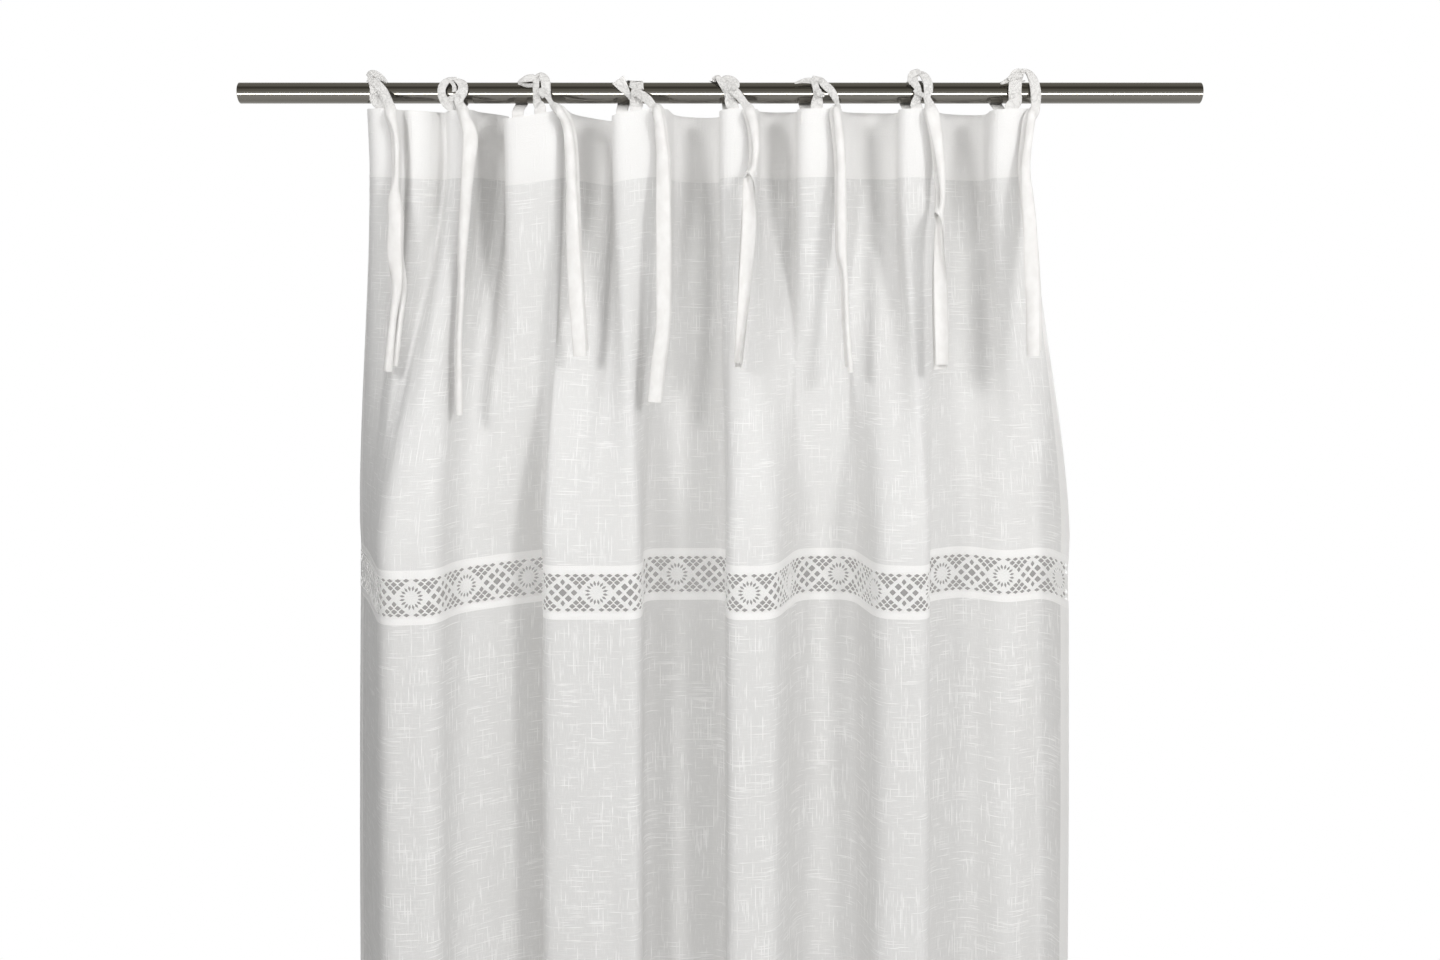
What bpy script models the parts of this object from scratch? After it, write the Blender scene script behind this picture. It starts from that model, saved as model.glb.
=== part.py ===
"""Tie up curtain with a lace insertion, hanging on its rod.

Metres, +Z up, +X to the viewer's right, -Y towards the viewer.
The origin lies on the rod's axis, at the middle of its length.
"""
import math

import bmesh
import bpy
from mathutils import Vector

# Rod
ROD_LENGTH = 1.171
ROD_DIAMETER = 0.025
ROD_WALL = 0.0012
ROD_SIDES = 40
BORE_OVERRUN = 0.020

# Cloth as it lies flat
FLAT_WIDTH = 1.500
FLAT_DROP = 2.500
HEADING_HEIGHT = 0.081
SIDE_HEM = 0.018
LACE_DROP = 0.573
LACE_HEIGHT = 0.051
SEAM_HEM = 0.010
BOTTOM_HEM = 0.080
HANG_BELOW_AXIS = 0.020

# Colours and finishes
STEEL_COLOUR = (0.46, 0.44, 0.41)
STEEL_ROUGHNESS = 0.28
CLOTH_COLOUR = (0.80, 0.80, 0.78)
WHITE_COLOUR = (0.86, 0.86, 0.84)
COTTON_ROUGHNESS = 0.9

# Thicknesses and gaps
CLOTH = 0.0010
CLOTH_DOUBLED = 0.0020
HEM_STEP = 0.0010
SEAM_GAP = 0.0004
LACE_THICKNESS = 0.0010
FLOWER_THICKNESS = 0.0016
TAPE_THICKNESS = 0.0014
TAPE_GAP = 0.0014
BASE_GAP = 0.0036
NEAR = 0.000001

# Lace pattern. A tile is half a repeat; flower tiles and diamond tiles take turns.
LACE_TILES = 35
TILE_ROWS = (0.0, 0.065, 0.27, 0.50, 0.73, 0.935, 1.0)
TILE_COLUMNS = (0.0, 0.25, 0.40, 0.60, 0.75)

# Mesh of the panels: columns and rows between the hems.
UPPER_COLUMN_COUNT = 70
UPPER_ROW_COUNT = 4
LOWER_COLUMN_COUNT = 50
LOWER_ROW_COUNT = 3

# Fold plan at the heading: corners of the folds, left to right.
HEADING_FOLDS = (
    (-0.434, 0.012), (-0.424, -0.032), (-0.392, -0.034), (-0.386, -0.012),
    (-0.374, -0.032), (-0.352, -0.022), (-0.338, 0.012), (-0.328, -0.027),
    (-0.301, -0.027), (-0.302, 0.044), (-0.262, 0.042),
    (-0.262, -0.038), (-0.190, -0.038), (-0.184, 0.046), (-0.130, 0.044),
    (-0.132, -0.036), (-0.066, -0.036), (-0.056, 0.042), (0.002, 0.040),
    (-0.002, -0.034), (0.044, -0.034), (0.050, 0.034), (0.096, 0.032),
    (0.093, -0.035), (0.146, -0.035), (0.152, 0.034), (0.222, 0.034),
    (0.214, -0.034), (0.260, -0.034), (0.274, 0.040), (0.330, 0.038),
    (0.326, -0.034), (0.372, -0.034), (0.381, 0.006),
)
# Fold plan at the lace, where the eight folds have run into four.
LACE_FOLDS = (
    (-0.486, 0.071), (-0.465, 0.032), (-0.424, -0.065), (-0.354, -0.060),
    (-0.339, -0.017), (-0.279, 0.015), (-0.222, 0.041), (-0.228, -0.041),
    (-0.098, -0.041), (-0.102, 0.039), (0.011, 0.041), (0.006, -0.043),
    (0.070, -0.041), (0.104, 0.041), (0.175, 0.041), (0.200, -0.039),
    (0.267, -0.043), (0.271, 0.032), (0.326, 0.054), (0.375, 0.026),
    (0.435, 0.048), (0.452, 0.002),
)
FOLD_BEND = 0.022
BEND_STEPS = 6
BEND_LOOK = 0.004
BEND_SAMPLES = 700
EVEN_SHARE = 0.06
BLEND_FROM = 0.060
BLEND_TO = 0.536
HEM_SPREAD = 1.108

# How far the top edge sags between one tie and the next.
TOP_SAGS = (0.003, 0.012, 0.012, 0.007, 0.001, 0.002, 0.004)
FIRST_TIE_AT = 0.032
LAST_TIE_AT = 1.473

# Ties, left to right: front strand, back strand, knot, tail points
# (across, height, turn in degrees) and ear reach to the left.
TIES = (
    dict(front=-0.405, back=-0.411, knot=-0.414, ear=0.000,
         tail=((-0.395, -0.059, 10), (-0.394, -0.169, 5), (-0.401, -0.262, 55),
               (-0.412, -0.337, 40))),
    dict(front=-0.314, back=-0.316, knot=-0.322, ear=0.017,
         tail=((-0.302, -0.059, 15), (-0.302, -0.149, 10), (-0.312, -0.260, 60),
               (-0.321, -0.390, 62))),
    dict(front=-0.216, back=-0.243, knot=-0.223, ear=0.022,
         tail=((-0.191, -0.049, 35), (-0.183, -0.139, 30), (-0.175, -0.230, 12),
               (-0.170, -0.318, 8))),
    dict(front=-0.101, back=-0.118, knot=-0.106, ear=0.024,
         tail=((-0.077, -0.049, 20), (-0.069, -0.129, 6), (-0.069, -0.240, 4),
               (-0.081, -0.375, 4))),
    dict(front=0.016, back=0.010, knot=0.010, ear=0.009,
         tail=((0.038, -0.049, 20), (0.037, -0.139, 8), (0.030, -0.219, 10),
               (0.027, -0.332, 50))),
    dict(front=0.116, back=0.104, knot=0.115, ear=0.022,
         tail=((0.140, -0.049, 30), (0.146, -0.129, 20), (0.152, -0.219, 55),
               (0.163, -0.337, 64))),
    dict(front=0.237, back=0.228, knot=0.234, ear=0.000,
         tail=((0.256, -0.049, 15), (0.268, -0.134, 70), (0.265, -0.199, 12),
               (0.272, -0.335, 6))),
    dict(front=0.349, back=0.338, knot=0.352, ear=0.014,
         tail=((0.372, -0.040, 35), (0.368, -0.094, 25), (0.377, -0.179, 14),
               (0.384, -0.317, 6))),
)
TAPE_WIDTH = 0.0175
STRAND_WIDTH = 0.0140
BASE_WIDTH = 0.0090
KNOT_WIDTH = 0.0105
KNOT_END_WIDTH = 0.0080
SEWN_DEPTH = 0.018
BACK_SEWN_DEPTH = 0.016
BACK_TURN_DEPTH = 0.006
BACK_TURN_FACING = (0.0, 0.5, -0.9)
BACK_SHARE = 0.2
BACK_WRAP = ((100, 0.2), (135, 0.6), (180, 0.9), (225, 1.0), (262, 1.0))
RISE_SHARE = 0.35
TAIL_FORWARD = (0.044, 0.051)
TAIL_CLEAR = 0.0080
TAIL_LAYER = 0.0030
SECOND_TAIL_SHORTER = 0.006

# Knot: where its middle lies round the rod, its half sizes, and how each length runs.
STRAND_STEPS = 5
WRAP_STEPS = 14
TAIL_STEPS = 15
SECOND_TAIL_STEPS = 12
EAR_STEPS = 7
CLOTH_LOOKS = 700
KNOT_ANGLE = 56
KNOT_RADIUS = 0.0182
KNOT_CORE = (0.0080, 0.0070, 0.0044)
OVER_KNOT = (((-0.001, -0.0105, 0.0165), (-0.7, 0.0, -0.7)),
             ((-0.008, -0.0105, 0.0240), (-0.7, -0.7, 0.1)),
             ((-0.002, -0.0125, 0.0290), (0.0, -0.7, 0.7)),
             ((0.007, -0.0150, 0.0260), (0.4, -0.7, 0.6)),
             ((0.0130, -0.0190, 0.0140), (0.6, -0.8, 0.1)),
             ((0.0150, -0.0250, 0.0), (0.5, -0.9, 0.1)),
             ((0.0160, -0.0395, -0.0150), (0.4, -0.9, 0.3)))
UNDER_KNOT = (((0.002, -0.0125, 0.0145), (0.1, -0.5, 0.8)),
              ((0.008, -0.0172, 0.0100), (0.3, -0.7, 0.5)),
              ((0.0120, -0.0205, 0.0), (0.5, -0.9, 0.1)),
              ((0.0130, -0.0355, -0.0150), (0.4, -0.9, 0.3)))
# Ear: how far left each place lies, as its own part and as a share of the tie's
# ear reach, then depth, height and facing.
EAR = ((0.003, 0.0, -0.0100, 0.0180, (0.0, -0.57, 0.82)),
       (0.004, 0.6, -0.0120, 0.0240, (0.0, -0.57, 0.82)),
       (0.006, 1.0, -0.0100, 0.0205, (-1.0, 0.0, 0.0)),
       (0.004, 0.6, -0.0085, 0.0155, (0.0, 0.57, -0.82)),
       (0.002, 0.0, -0.0110, 0.0140, (0.0, 0.57, -0.82)))
EAR_WIDTH = 0.00735


def clear_scene():
    for item in list(bpy.data.objects):
        bpy.data.objects.remove(item, do_unlink=True)


def new_collection(name):
    group = bpy.data.collections.new(name)
    bpy.context.scene.collection.children.link(group)
    return group


def rounded(corners):
    """Turn the corners of a fold plan into soft bends."""
    points = [corners[0]]
    for before, corner, after in zip(corners, corners[1:], corners[2:]):
        ends = []
        for other in (before, after):
            share = min(FOLD_BEND / math.dist(corner, other), 0.5)
            ends.append((corner[0] + (other[0] - corner[0]) * share,
                         corner[1] + (other[1] - corner[1]) * share))
        for n in range(BEND_STEPS + 1):
            t = n / BEND_STEPS
            points.append(tuple((1 - t) ** 2 * p + 2 * t * (1 - t) * q + t ** 2 * r
                                for p, q, r in zip(ends[0], corner, ends[1])))
    points.append(corners[-1])
    return points


def running_length(points):
    total = [0.0]
    for a, b in zip(points, points[1:]):
        total.append(total[-1] + math.dist(a, b))
    return total


def fold_plan(corners):
    """Deepen the folds until the plan takes up the whole flat width."""
    soft = rounded(corners)
    low, high = 0.2, 3.0
    for _ in range(30):
        depth = 0.5 * (low + high)
        plan = [(x, y * depth) for x, y in soft]
        if running_length(plan)[-1] < FLAT_WIDTH:
            low = depth
        else:
            high = depth
    return plan, running_length(plan)


def along(plan, across):
    points, lengths = plan
    wanted = max(0.0, min(1.0, across / FLAT_WIDTH)) * lengths[-1]
    low, high = 0, len(lengths) - 1
    while high - low > 1:
        middle = (low + high) // 2
        if lengths[middle] <= wanted:
            low = middle
        else:
            high = middle
    share = (wanted - lengths[low]) / (lengths[high] - lengths[low])
    (ax, ay), (bx, by) = points[low], points[high]
    return ax + (bx - ax) * share, ay + (by - ay) * share


HEADING_PLAN = fold_plan(HEADING_FOLDS)
LACE_PLAN = fold_plan(LACE_FOLDS)
HEM_PLAN = fold_plan([(x * HEM_SPREAD, y) for x, y in LACE_FOLDS])


def sag(across, drop):
    pitch = (LAST_TIE_AT - FIRST_TIE_AT) / len(TOP_SAGS)
    place = (across - FIRST_TIE_AT) / pitch
    if place <= 0.0 or place >= len(TOP_SAGS):
        return 0.0
    swag = int(place)
    fade = max(0.0, 1.0 - drop / LACE_DROP)
    return TOP_SAGS[swag] * math.sin(math.pi * (place - swag)) ** 2 * fade


def drape(across, drop):
    """Where a point of the flat cloth lies when the curtain hangs."""
    top_x, top_y = along(HEADING_PLAN, across)
    low_x, low_y = along(LACE_PLAN, across)
    t = max(0.0, min(1.0, (drop - BLEND_FROM) / (BLEND_TO - BLEND_FROM)))
    share = 0.5 * t + 0.5 * t * t * (3.0 - 2.0 * t)
    x = top_x + (low_x - top_x) * share
    y = top_y + (low_y - top_y) * share
    if drop > LACE_DROP:
        hem_x, hem_y = along(HEM_PLAN, across)
        left = (FLAT_DROP - drop) / (FLAT_DROP - LACE_DROP)
        share = 1.0 - left * left
        x += (hem_x - x) * share
        y += (hem_y - y) * share
    return Vector((x, y, -HANG_BELOW_AXIS - drop - sag(across, drop)))


def material(name, colour, roughness, metallic=0.0):
    made = bpy.data.materials.new(name)
    made.use_nodes = True
    shader = made.node_tree.nodes["Principled BSDF"]
    shader.inputs["Base Color"].default_value = (*colour, 1.0)
    shader.inputs["Roughness"].default_value = roughness
    shader.inputs["Metallic"].default_value = metallic
    made.diffuse_color = (*colour, 1.0)
    return made


def add_object(group, name, mesh_data, surface=None):
    item = bpy.data.objects.new(name, mesh_data)
    group.objects.link(item)
    if surface is not None:
        mesh_data.materials.append(surface)
    return item


def grid_mesh(columns, rows, place):
    """A grid primitive whose crossings are moved to place(column, row)."""
    build = bmesh.new()
    bmesh.ops.create_grid(build, x_segments=columns, y_segments=rows, size=0.5)
    crossing = {}
    for vert in build.verts:
        column = round((vert.co.x + 0.5) * columns)
        row = rows - round((vert.co.y + 0.5) * rows)
        crossing[vert] = (column, row)
    for vert, (column, row) in crossing.items():
        vert.co = place(column, row)
    return build, crossing


def spread_lines(start, end, count):
    return [start + (end - start) * n / count for n in range(count + 1)]


def turning(plan, across):
    """How sharply a fold plan bends at one place, in radians."""
    (ax, ay), (bx, by), (cx, cy) = (along(plan, across + step)
                                    for step in (-BEND_LOOK, 0.0, BEND_LOOK))
    turn = math.atan2(cy - by, cx - bx) - math.atan2(by - ay, bx - ax)
    return abs((turn + math.pi) % (2.0 * math.pi) - math.pi)


def cloth_columns(count, plans):
    """Upright lines of the cloth mesh, closest together where the folds bend."""
    start = SIDE_HEM + HEM_STEP
    end = FLAT_WIDTH - start
    places = spread_lines(start, end, BEND_SAMPLES)
    totals = [0.0]
    for place in places[1:]:
        totals.append(totals[-1] + EVEN_SHARE + sum(turning(plan, place) for plan in plans))
    inner = []
    index = 0
    for n in range(count + 1):
        wanted = totals[-1] * n / count
        while index < BEND_SAMPLES - 1 and totals[index + 1] < wanted:
            index += 1
        share = (wanted - totals[index]) / (totals[index + 1] - totals[index])
        inner.append(places[index] + (places[index + 1] - places[index]) * share)
    return [0.0, SIDE_HEM] + inner + [FLAT_WIDTH - SIDE_HEM, FLAT_WIDTH]


def solidify(item, weights, thick, thin):
    group = item.vertex_groups.new(name="doubled")
    for index in weights:
        group.add([index], 1.0, "REPLACE")
    shell = item.modifiers.new("cloth", "SOLIDIFY")
    shell.thickness = thick
    shell.offset = -1.0
    shell.vertex_group = "doubled"
    shell.thickness_vertex_group = thin / thick
    return shell


def panel(group, name, columns, rows, doubled, surface):
    build, crossing = grid_mesh(
        len(columns) - 1, len(rows) - 1,
        lambda column, row: drape(columns[column], rows[row]))
    mesh_data = bpy.data.meshes.new(name)
    build.verts.index_update()
    weights = []
    for vert, (column, row) in crossing.items():
        across, drop = columns[column], rows[row]
        side = min(across, FLAT_WIDTH - across) <= SIDE_HEM + NEAR
        if side or doubled(drop):
            weights.append(vert.index)
    build.to_mesh(mesh_data)
    build.free()
    item = add_object(group, name, mesh_data, surface)
    solidify(item, weights, CLOTH_DOUBLED, CLOTH)
    return item


def upper_panel(group, surface):
    seam = LACE_DROP - SEAM_GAP
    hem = seam - SEAM_HEM
    step = HEADING_HEIGHT + HEM_STEP
    rows = [0.0, HEADING_HEIGHT]
    rows += spread_lines(step, hem - HEM_STEP, UPPER_ROW_COUNT) + [hem, seam]
    columns = cloth_columns(UPPER_COLUMN_COUNT, (HEADING_PLAN, LACE_PLAN))
    return panel(group, "upper_panel", columns, rows,
                 lambda drop: drop <= HEADING_HEIGHT + NEAR or drop >= hem - NEAR, surface)


def lower_panel(group, surface):
    seam = LACE_DROP + LACE_HEIGHT + SEAM_GAP
    hem = seam + SEAM_HEM
    bottom = FLAT_DROP - BOTTOM_HEM
    rows = [seam, hem] + spread_lines(hem + HEM_STEP, bottom - HEM_STEP, LOWER_ROW_COUNT)
    rows += [bottom, FLAT_DROP]
    columns = cloth_columns(LOWER_COLUMN_COUNT, (LACE_PLAN, HEM_PLAN))
    return panel(group, "lower_panel", columns, rows,
                 lambda drop: drop <= hem + NEAR or drop >= bottom - NEAR, surface)


def tile_point(tile, column, row):
    """Crossing of the lace grid inside one tile, both ways from 0 to 1."""
    x = TILE_COLUMNS[column]
    y = TILE_ROWS[row]
    flower = tile % 2 == 0
    mirror = 1.0 if column < 3 else -1.0
    towards = 1.0 if row < 3 else -1.0
    shoulder = row in (2, 4)
    if column == 0 and row not in (0, 3, 6) and tile > 0:
        x += 0.12 if flower else -0.12
        y += 0.11 * towards if shoulder else 0.0
    elif flower and column in (1, 4):
        x += mirror * (-0.10 if row == 3 else 0.04 if shoulder else 0.0)
    elif flower and column in (2, 3):
        x += mirror * (-0.04 if row == 3 else 0.05 if shoulder else 0.0)
        y -= 0.03 * towards if shoulder else 0.0
    elif column in (1, 4):
        x += mirror * (-0.13 if row == 3 else -0.11 if shoulder else 0.05)
        y += 0.07 * towards if shoulder else 0.0
    elif column in (2, 3):
        x += mirror * (-0.16 if row == 3 else 0.06 if shoulder else 0.0)
    return x, y


def lace_hole(tile, column, row):
    """Tell which cells of a tile are open."""
    if tile % 2:
        return row in (1, 4) and column in (0, 4) or row in (2, 3) and column == 2
    under_hem = tile == 0 and column == 1 or tile == LACE_TILES - 1 and column == 3
    return row in (2, 3) and column in (1, 3) and not under_hem


def lace_insertion(group, surface):
    per_tile = len(TILE_COLUMNS)
    columns = LACE_TILES * per_tile
    rows = len(TILE_ROWS) - 1
    tile_width = FLAT_WIDTH / LACE_TILES

    def place(column, row):
        tile, inside = divmod(column, per_tile)
        if tile == LACE_TILES:
            x, y = tile_point(tile - 1, 0, row)
            x = 1.0
            tile -= 1
        else:
            x, y = tile_point(tile, inside, row)
        across = (tile + x) * tile_width
        return drape(across, LACE_DROP + y * LACE_HEIGHT)

    build, crossing = grid_mesh(columns, rows, place)
    open_cells = []
    for face in build.faces:
        column = min(crossing[vert][0] for vert in face.verts)
        row = min(crossing[vert][1] for vert in face.verts)
        tile, inside = divmod(column, per_tile)
        if lace_hole(tile, inside, row):
            open_cells.append(face)
    bmesh.ops.delete(build, geom=open_cells, context="FACES")
    build.verts.index_update()
    weights = []
    for vert in build.verts:
        column, row = crossing[vert]
        tile, inside = divmod(column, per_tile)
        if tile % 2 == 0 and inside in (2, 3) and row in (2, 3, 4):
            weights.append(vert.index)
    mesh_data = bpy.data.meshes.new("lace_insertion")
    build.to_mesh(mesh_data)
    build.free()
    item = add_object(group, "lace_insertion", mesh_data, surface)
    solidify(item, weights, FLOWER_THICKNESS, LACE_THICKNESS)
    return item


def smooth_path(points, count):
    """Catmull-Rom curve through points of any length."""
    ends = [points[0]] + list(points) + [points[-1]]
    spans = len(points) - 1
    path = []
    for n in range(count + 1):
        place = spans * n / count
        span = min(int(place), spans - 1)
        t = place - span
        a, b, c, d = ends[span:span + 4]
        path.append(tuple(
            0.5 * (2 * q + (r - p) * t + (2 * p - 5 * q + 4 * r - s) * t ** 2
                   + (3 * q - p - 3 * r + s) * t ** 3)
            for p, q, r, s in zip(a, b, c, d)))
    return path


def strip(group, name, points, count, surface=None):
    """A length of tape. Each point: across, depth, height, width and facing."""
    marks = [tuple(point[:4]) + tuple(Vector(point[4:7]).normalized()) for point in points]
    path = smooth_path(marks, count)
    centres = [Vector(point[:3]) for point in path]
    sides = []
    for n, point in enumerate(path):
        ahead = centres[min(n + 1, count)] - centres[max(n - 1, 0)]
        facing = Vector(point[4:7])
        sides.append(ahead.cross(facing).normalized() * 0.5 * point[3])

    def place(column, row):
        return centres[row] + sides[row] * (1.0 if column else -1.0)

    build, _ = grid_mesh(1, count, place)
    mesh_data = bpy.data.meshes.new(name)
    build.to_mesh(mesh_data)
    build.free()
    item = add_object(group, name, mesh_data, surface)
    shell = item.modifiers.new("tape", "SOLIDIFY")
    shell.thickness = TAPE_THICKNESS
    shell.offset = 0.0
    return item


def cloth_behind(across, half_width, drop):
    """Rearmost depth of the front fold behind a stretch of heading."""
    rear = -1.0
    for n in range(CLOTH_LOOKS + 1):
        place = drape(FLAT_WIDTH * n / CLOTH_LOOKS, drop)
        if abs(place.x - across) < half_width and place.y < 0.0:
            rear = max(rear, place.y)
    return rear


def cloth_front(across, half_width, drop):
    """Foremost depth of the cloth over a stretch of its width."""
    places = [drape(place, drop) for place in spread_lines(0.0, FLAT_WIDTH, CLOTH_LOOKS)]
    return min((place.y for place in places if abs(place.x - across) < half_width),
               default=0.0)


def on_rod(angle, radius):
    """Depth and height at an angle round the rod, 0 in front and 90 on top."""
    turn = math.radians(angle)
    return -math.cos(turn) * radius, math.sin(turn) * radius


def front_strand(tie):
    """From the sewn middle of the tape up in front of the rod into the knot."""
    base = cloth_behind(tie["front"], 0.5 * BASE_WIDTH + TAPE_GAP, 0.0)
    base += CLOTH_DOUBLED + 0.5 * TAPE_THICKNESS + BASE_GAP
    reach = 0.5 * ROD_DIAMETER + 0.5 * TAPE_THICKNESS + TAPE_GAP
    points = [(tie["front"], base, -HANG_BELOW_AXIS - SEWN_DEPTH, BASE_WIDTH, 0.0, -1.0, 0.0),
              (tie["front"], base, -HANG_BELOW_AXIS, BASE_WIDTH, 0.0, -1.0, 0.0)]
    for angle, radius, width, share in ((0, reach, STRAND_WIDTH, RISE_SHARE),
                                        (KNOT_ANGLE, KNOT_RADIUS, KNOT_END_WIDTH, 1.0)):
        y, z = on_rod(angle, radius)
        x = tie["front"] + (tie["knot"] - tie["front"]) * share
        points.append((x, y, z, width, 0.0, y, z))
    return points, base


def back_strand(tie, base):
    """From the knot over the rod, down behind it and under it to the heading."""
    reach = 0.5 * ROD_DIAMETER + 0.5 * TAPE_THICKNESS + TAPE_GAP
    back, knot = tie["back"], tie["knot"]
    y, z = on_rod(KNOT_ANGLE, KNOT_RADIUS)
    points = [(knot, y, z, KNOT_END_WIDTH, 0.0, y, z)]
    for angle, share in BACK_WRAP:
        y, z = on_rod(angle, reach)
        points.append((knot + (back - knot) * share, y, z, STRAND_WIDTH, 0.0, y, z))
    behind = base + TAPE_THICKNESS + TAPE_GAP
    sewn = BACK_SHARE * back + (1.0 - BACK_SHARE) * tie["front"]
    points.append((sewn, behind, -HANG_BELOW_AXIS - BACK_TURN_DEPTH, BASE_WIDTH,
                   *BACK_TURN_FACING))
    points.append((sewn, behind, -HANG_BELOW_AXIS - BACK_SEWN_DEPTH, BASE_WIDTH,
                   0.0, 1.0, 0.0))
    return points


def tail_points(tie, start, layer, shorter):
    """From the knot on top of the rod down in front of the curtain."""
    knot = tie["knot"]
    points = [(knot + x, y, z, KNOT_WIDTH, *facing) for (x, y, z), facing in start]
    for n, (across, height, turn) in enumerate(tie["tail"]):
        angle = math.radians(turn)
        facing_x, facing_y = math.sin(angle), -math.cos(angle)
        reach = 0.5 * TAPE_WIDTH * (1.0 + math.sin(angle))
        front = cloth_front(across, reach, -height - HANG_BELOW_AXIS)
        forward = max(TAIL_CLEAR + 0.5 * TAPE_WIDTH * math.sin(angle) - front,
                      TAIL_FORWARD[min(n, 1)])
        lift = shorter if n == len(tie["tail"]) - 1 else 0.0
        points.append((across - facing_x * layer, -forward - facing_y * layer,
                       height + lift, TAPE_WIDTH, facing_x, facing_y, 0.0))
    return points


def join(base, other):
    other.hide_render = True
    other.display_type = "WIRE"
    union = base.modifiers.new("join " + other.name, "BOOLEAN")
    union.operation = "UNION"
    union.solver = "EXACT"
    union.object = other


def knot_core(cutters, name, across):
    build = bmesh.new()
    bmesh.ops.create_uvsphere(build, u_segments=8, v_segments=4, radius=1.0)
    width, tall, deep = KNOT_CORE
    middle_y, middle_z = on_rod(KNOT_ANGLE, KNOT_RADIUS)
    lean = math.radians(KNOT_ANGLE)
    for vert in build.verts:
        outward = vert.co.z * deep
        upward = vert.co.y * tall
        vert.co = Vector((
            across + vert.co.x * width,
            middle_y - math.cos(lean) * outward + math.sin(lean) * upward,
            middle_z + math.sin(lean) * outward + math.cos(lean) * upward))
    mesh_data = bpy.data.meshes.new(name)
    build.to_mesh(mesh_data)
    build.free()
    return add_object(cutters, name, mesh_data)


def tie_piece(group, cutters, number, tie, surface):
    name = "tie_%d" % number
    knot, reach = tie["knot"], tie["ear"]
    rise, base = front_strand(tie)
    item = strip(group, name, rise, STRAND_STEPS, surface)
    parts = [knot_core(cutters, name + "_knot", knot)]
    if reach > 0.0:
        ear = [(knot - left - reach * share, y, z, EAR_WIDTH, *facing)
               for left, share, y, z, facing in EAR]
        parts.append(strip(cutters, name + "_ear", ear, EAR_STEPS))
    parts.append(strip(cutters, name + "_back", back_strand(tie, base), WRAP_STEPS))
    parts.append(strip(cutters, name + "_tail",
                       tail_points(tie, OVER_KNOT, 0.0, 0.0), TAIL_STEPS))
    parts.append(strip(cutters, name + "_second_tail",
                       tail_points(tie, UNDER_KNOT, TAIL_LAYER, SECOND_TAIL_SHORTER),
                       SECOND_TAIL_STEPS))
    for part in parts:
        join(item, part)
    return item


def curtain_rod(group, cutters, surface):
    def tube(name, radius, length, holder, look=None):
        build = bmesh.new()
        bmesh.ops.create_cone(build, cap_ends=True, segments=ROD_SIDES,
                              radius1=radius, radius2=radius, depth=length)
        mesh_data = bpy.data.meshes.new(name)
        build.to_mesh(mesh_data)
        build.free()
        item = add_object(holder, name, mesh_data, look)
        item.rotation_euler = (0.0, math.radians(90.0), 0.0)
        return item

    rod = tube("curtain_rod", 0.5 * ROD_DIAMETER, ROD_LENGTH, group, surface)
    bore = tube("rod_bore", 0.5 * ROD_DIAMETER - ROD_WALL, ROD_LENGTH + BORE_OVERRUN, cutters)
    bore.hide_render = True
    bore.display_type = "WIRE"
    cut = rod.modifiers.new("bore", "BOOLEAN")
    cut.operation = "DIFFERENCE"
    cut.solver = "EXACT"
    cut.object = bore
    return rod


def main():
    clear_scene()
    group = new_collection("tie_up_curtain")
    cutters = new_collection("cutters")
    curtain_rod(group, cutters,
                material("brushed steel", STEEL_COLOUR, STEEL_ROUGHNESS, metallic=1.0))
    upper_panel(group, material("upper cloth", CLOTH_COLOUR, COTTON_ROUGHNESS))
    lace_insertion(group, material("lace", WHITE_COLOUR, COTTON_ROUGHNESS))
    lower_panel(group, material("lower cloth", CLOTH_COLOUR, COTTON_ROUGHNESS))
    for number, tie in enumerate(TIES, start=1):
        tape = material("tape %d" % number, WHITE_COLOUR, COTTON_ROUGHNESS)
        tie_piece(group, cutters, number, tie, tape)


main()
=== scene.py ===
import math

import bpy
import numpy as np
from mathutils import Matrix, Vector, noise


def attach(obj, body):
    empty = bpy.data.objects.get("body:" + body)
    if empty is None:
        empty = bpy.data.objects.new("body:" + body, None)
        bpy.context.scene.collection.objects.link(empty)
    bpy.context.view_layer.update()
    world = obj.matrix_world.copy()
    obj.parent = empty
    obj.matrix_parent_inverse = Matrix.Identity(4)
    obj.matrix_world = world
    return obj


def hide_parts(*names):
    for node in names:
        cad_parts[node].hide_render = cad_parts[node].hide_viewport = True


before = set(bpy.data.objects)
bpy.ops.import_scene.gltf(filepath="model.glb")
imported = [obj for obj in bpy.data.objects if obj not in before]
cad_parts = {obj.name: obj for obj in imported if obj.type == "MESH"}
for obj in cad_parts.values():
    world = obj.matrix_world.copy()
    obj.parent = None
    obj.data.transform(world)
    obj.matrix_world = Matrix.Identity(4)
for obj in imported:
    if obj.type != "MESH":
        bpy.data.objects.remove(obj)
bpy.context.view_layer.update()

print("frame loaded:", len(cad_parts), "nodes")


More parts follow.
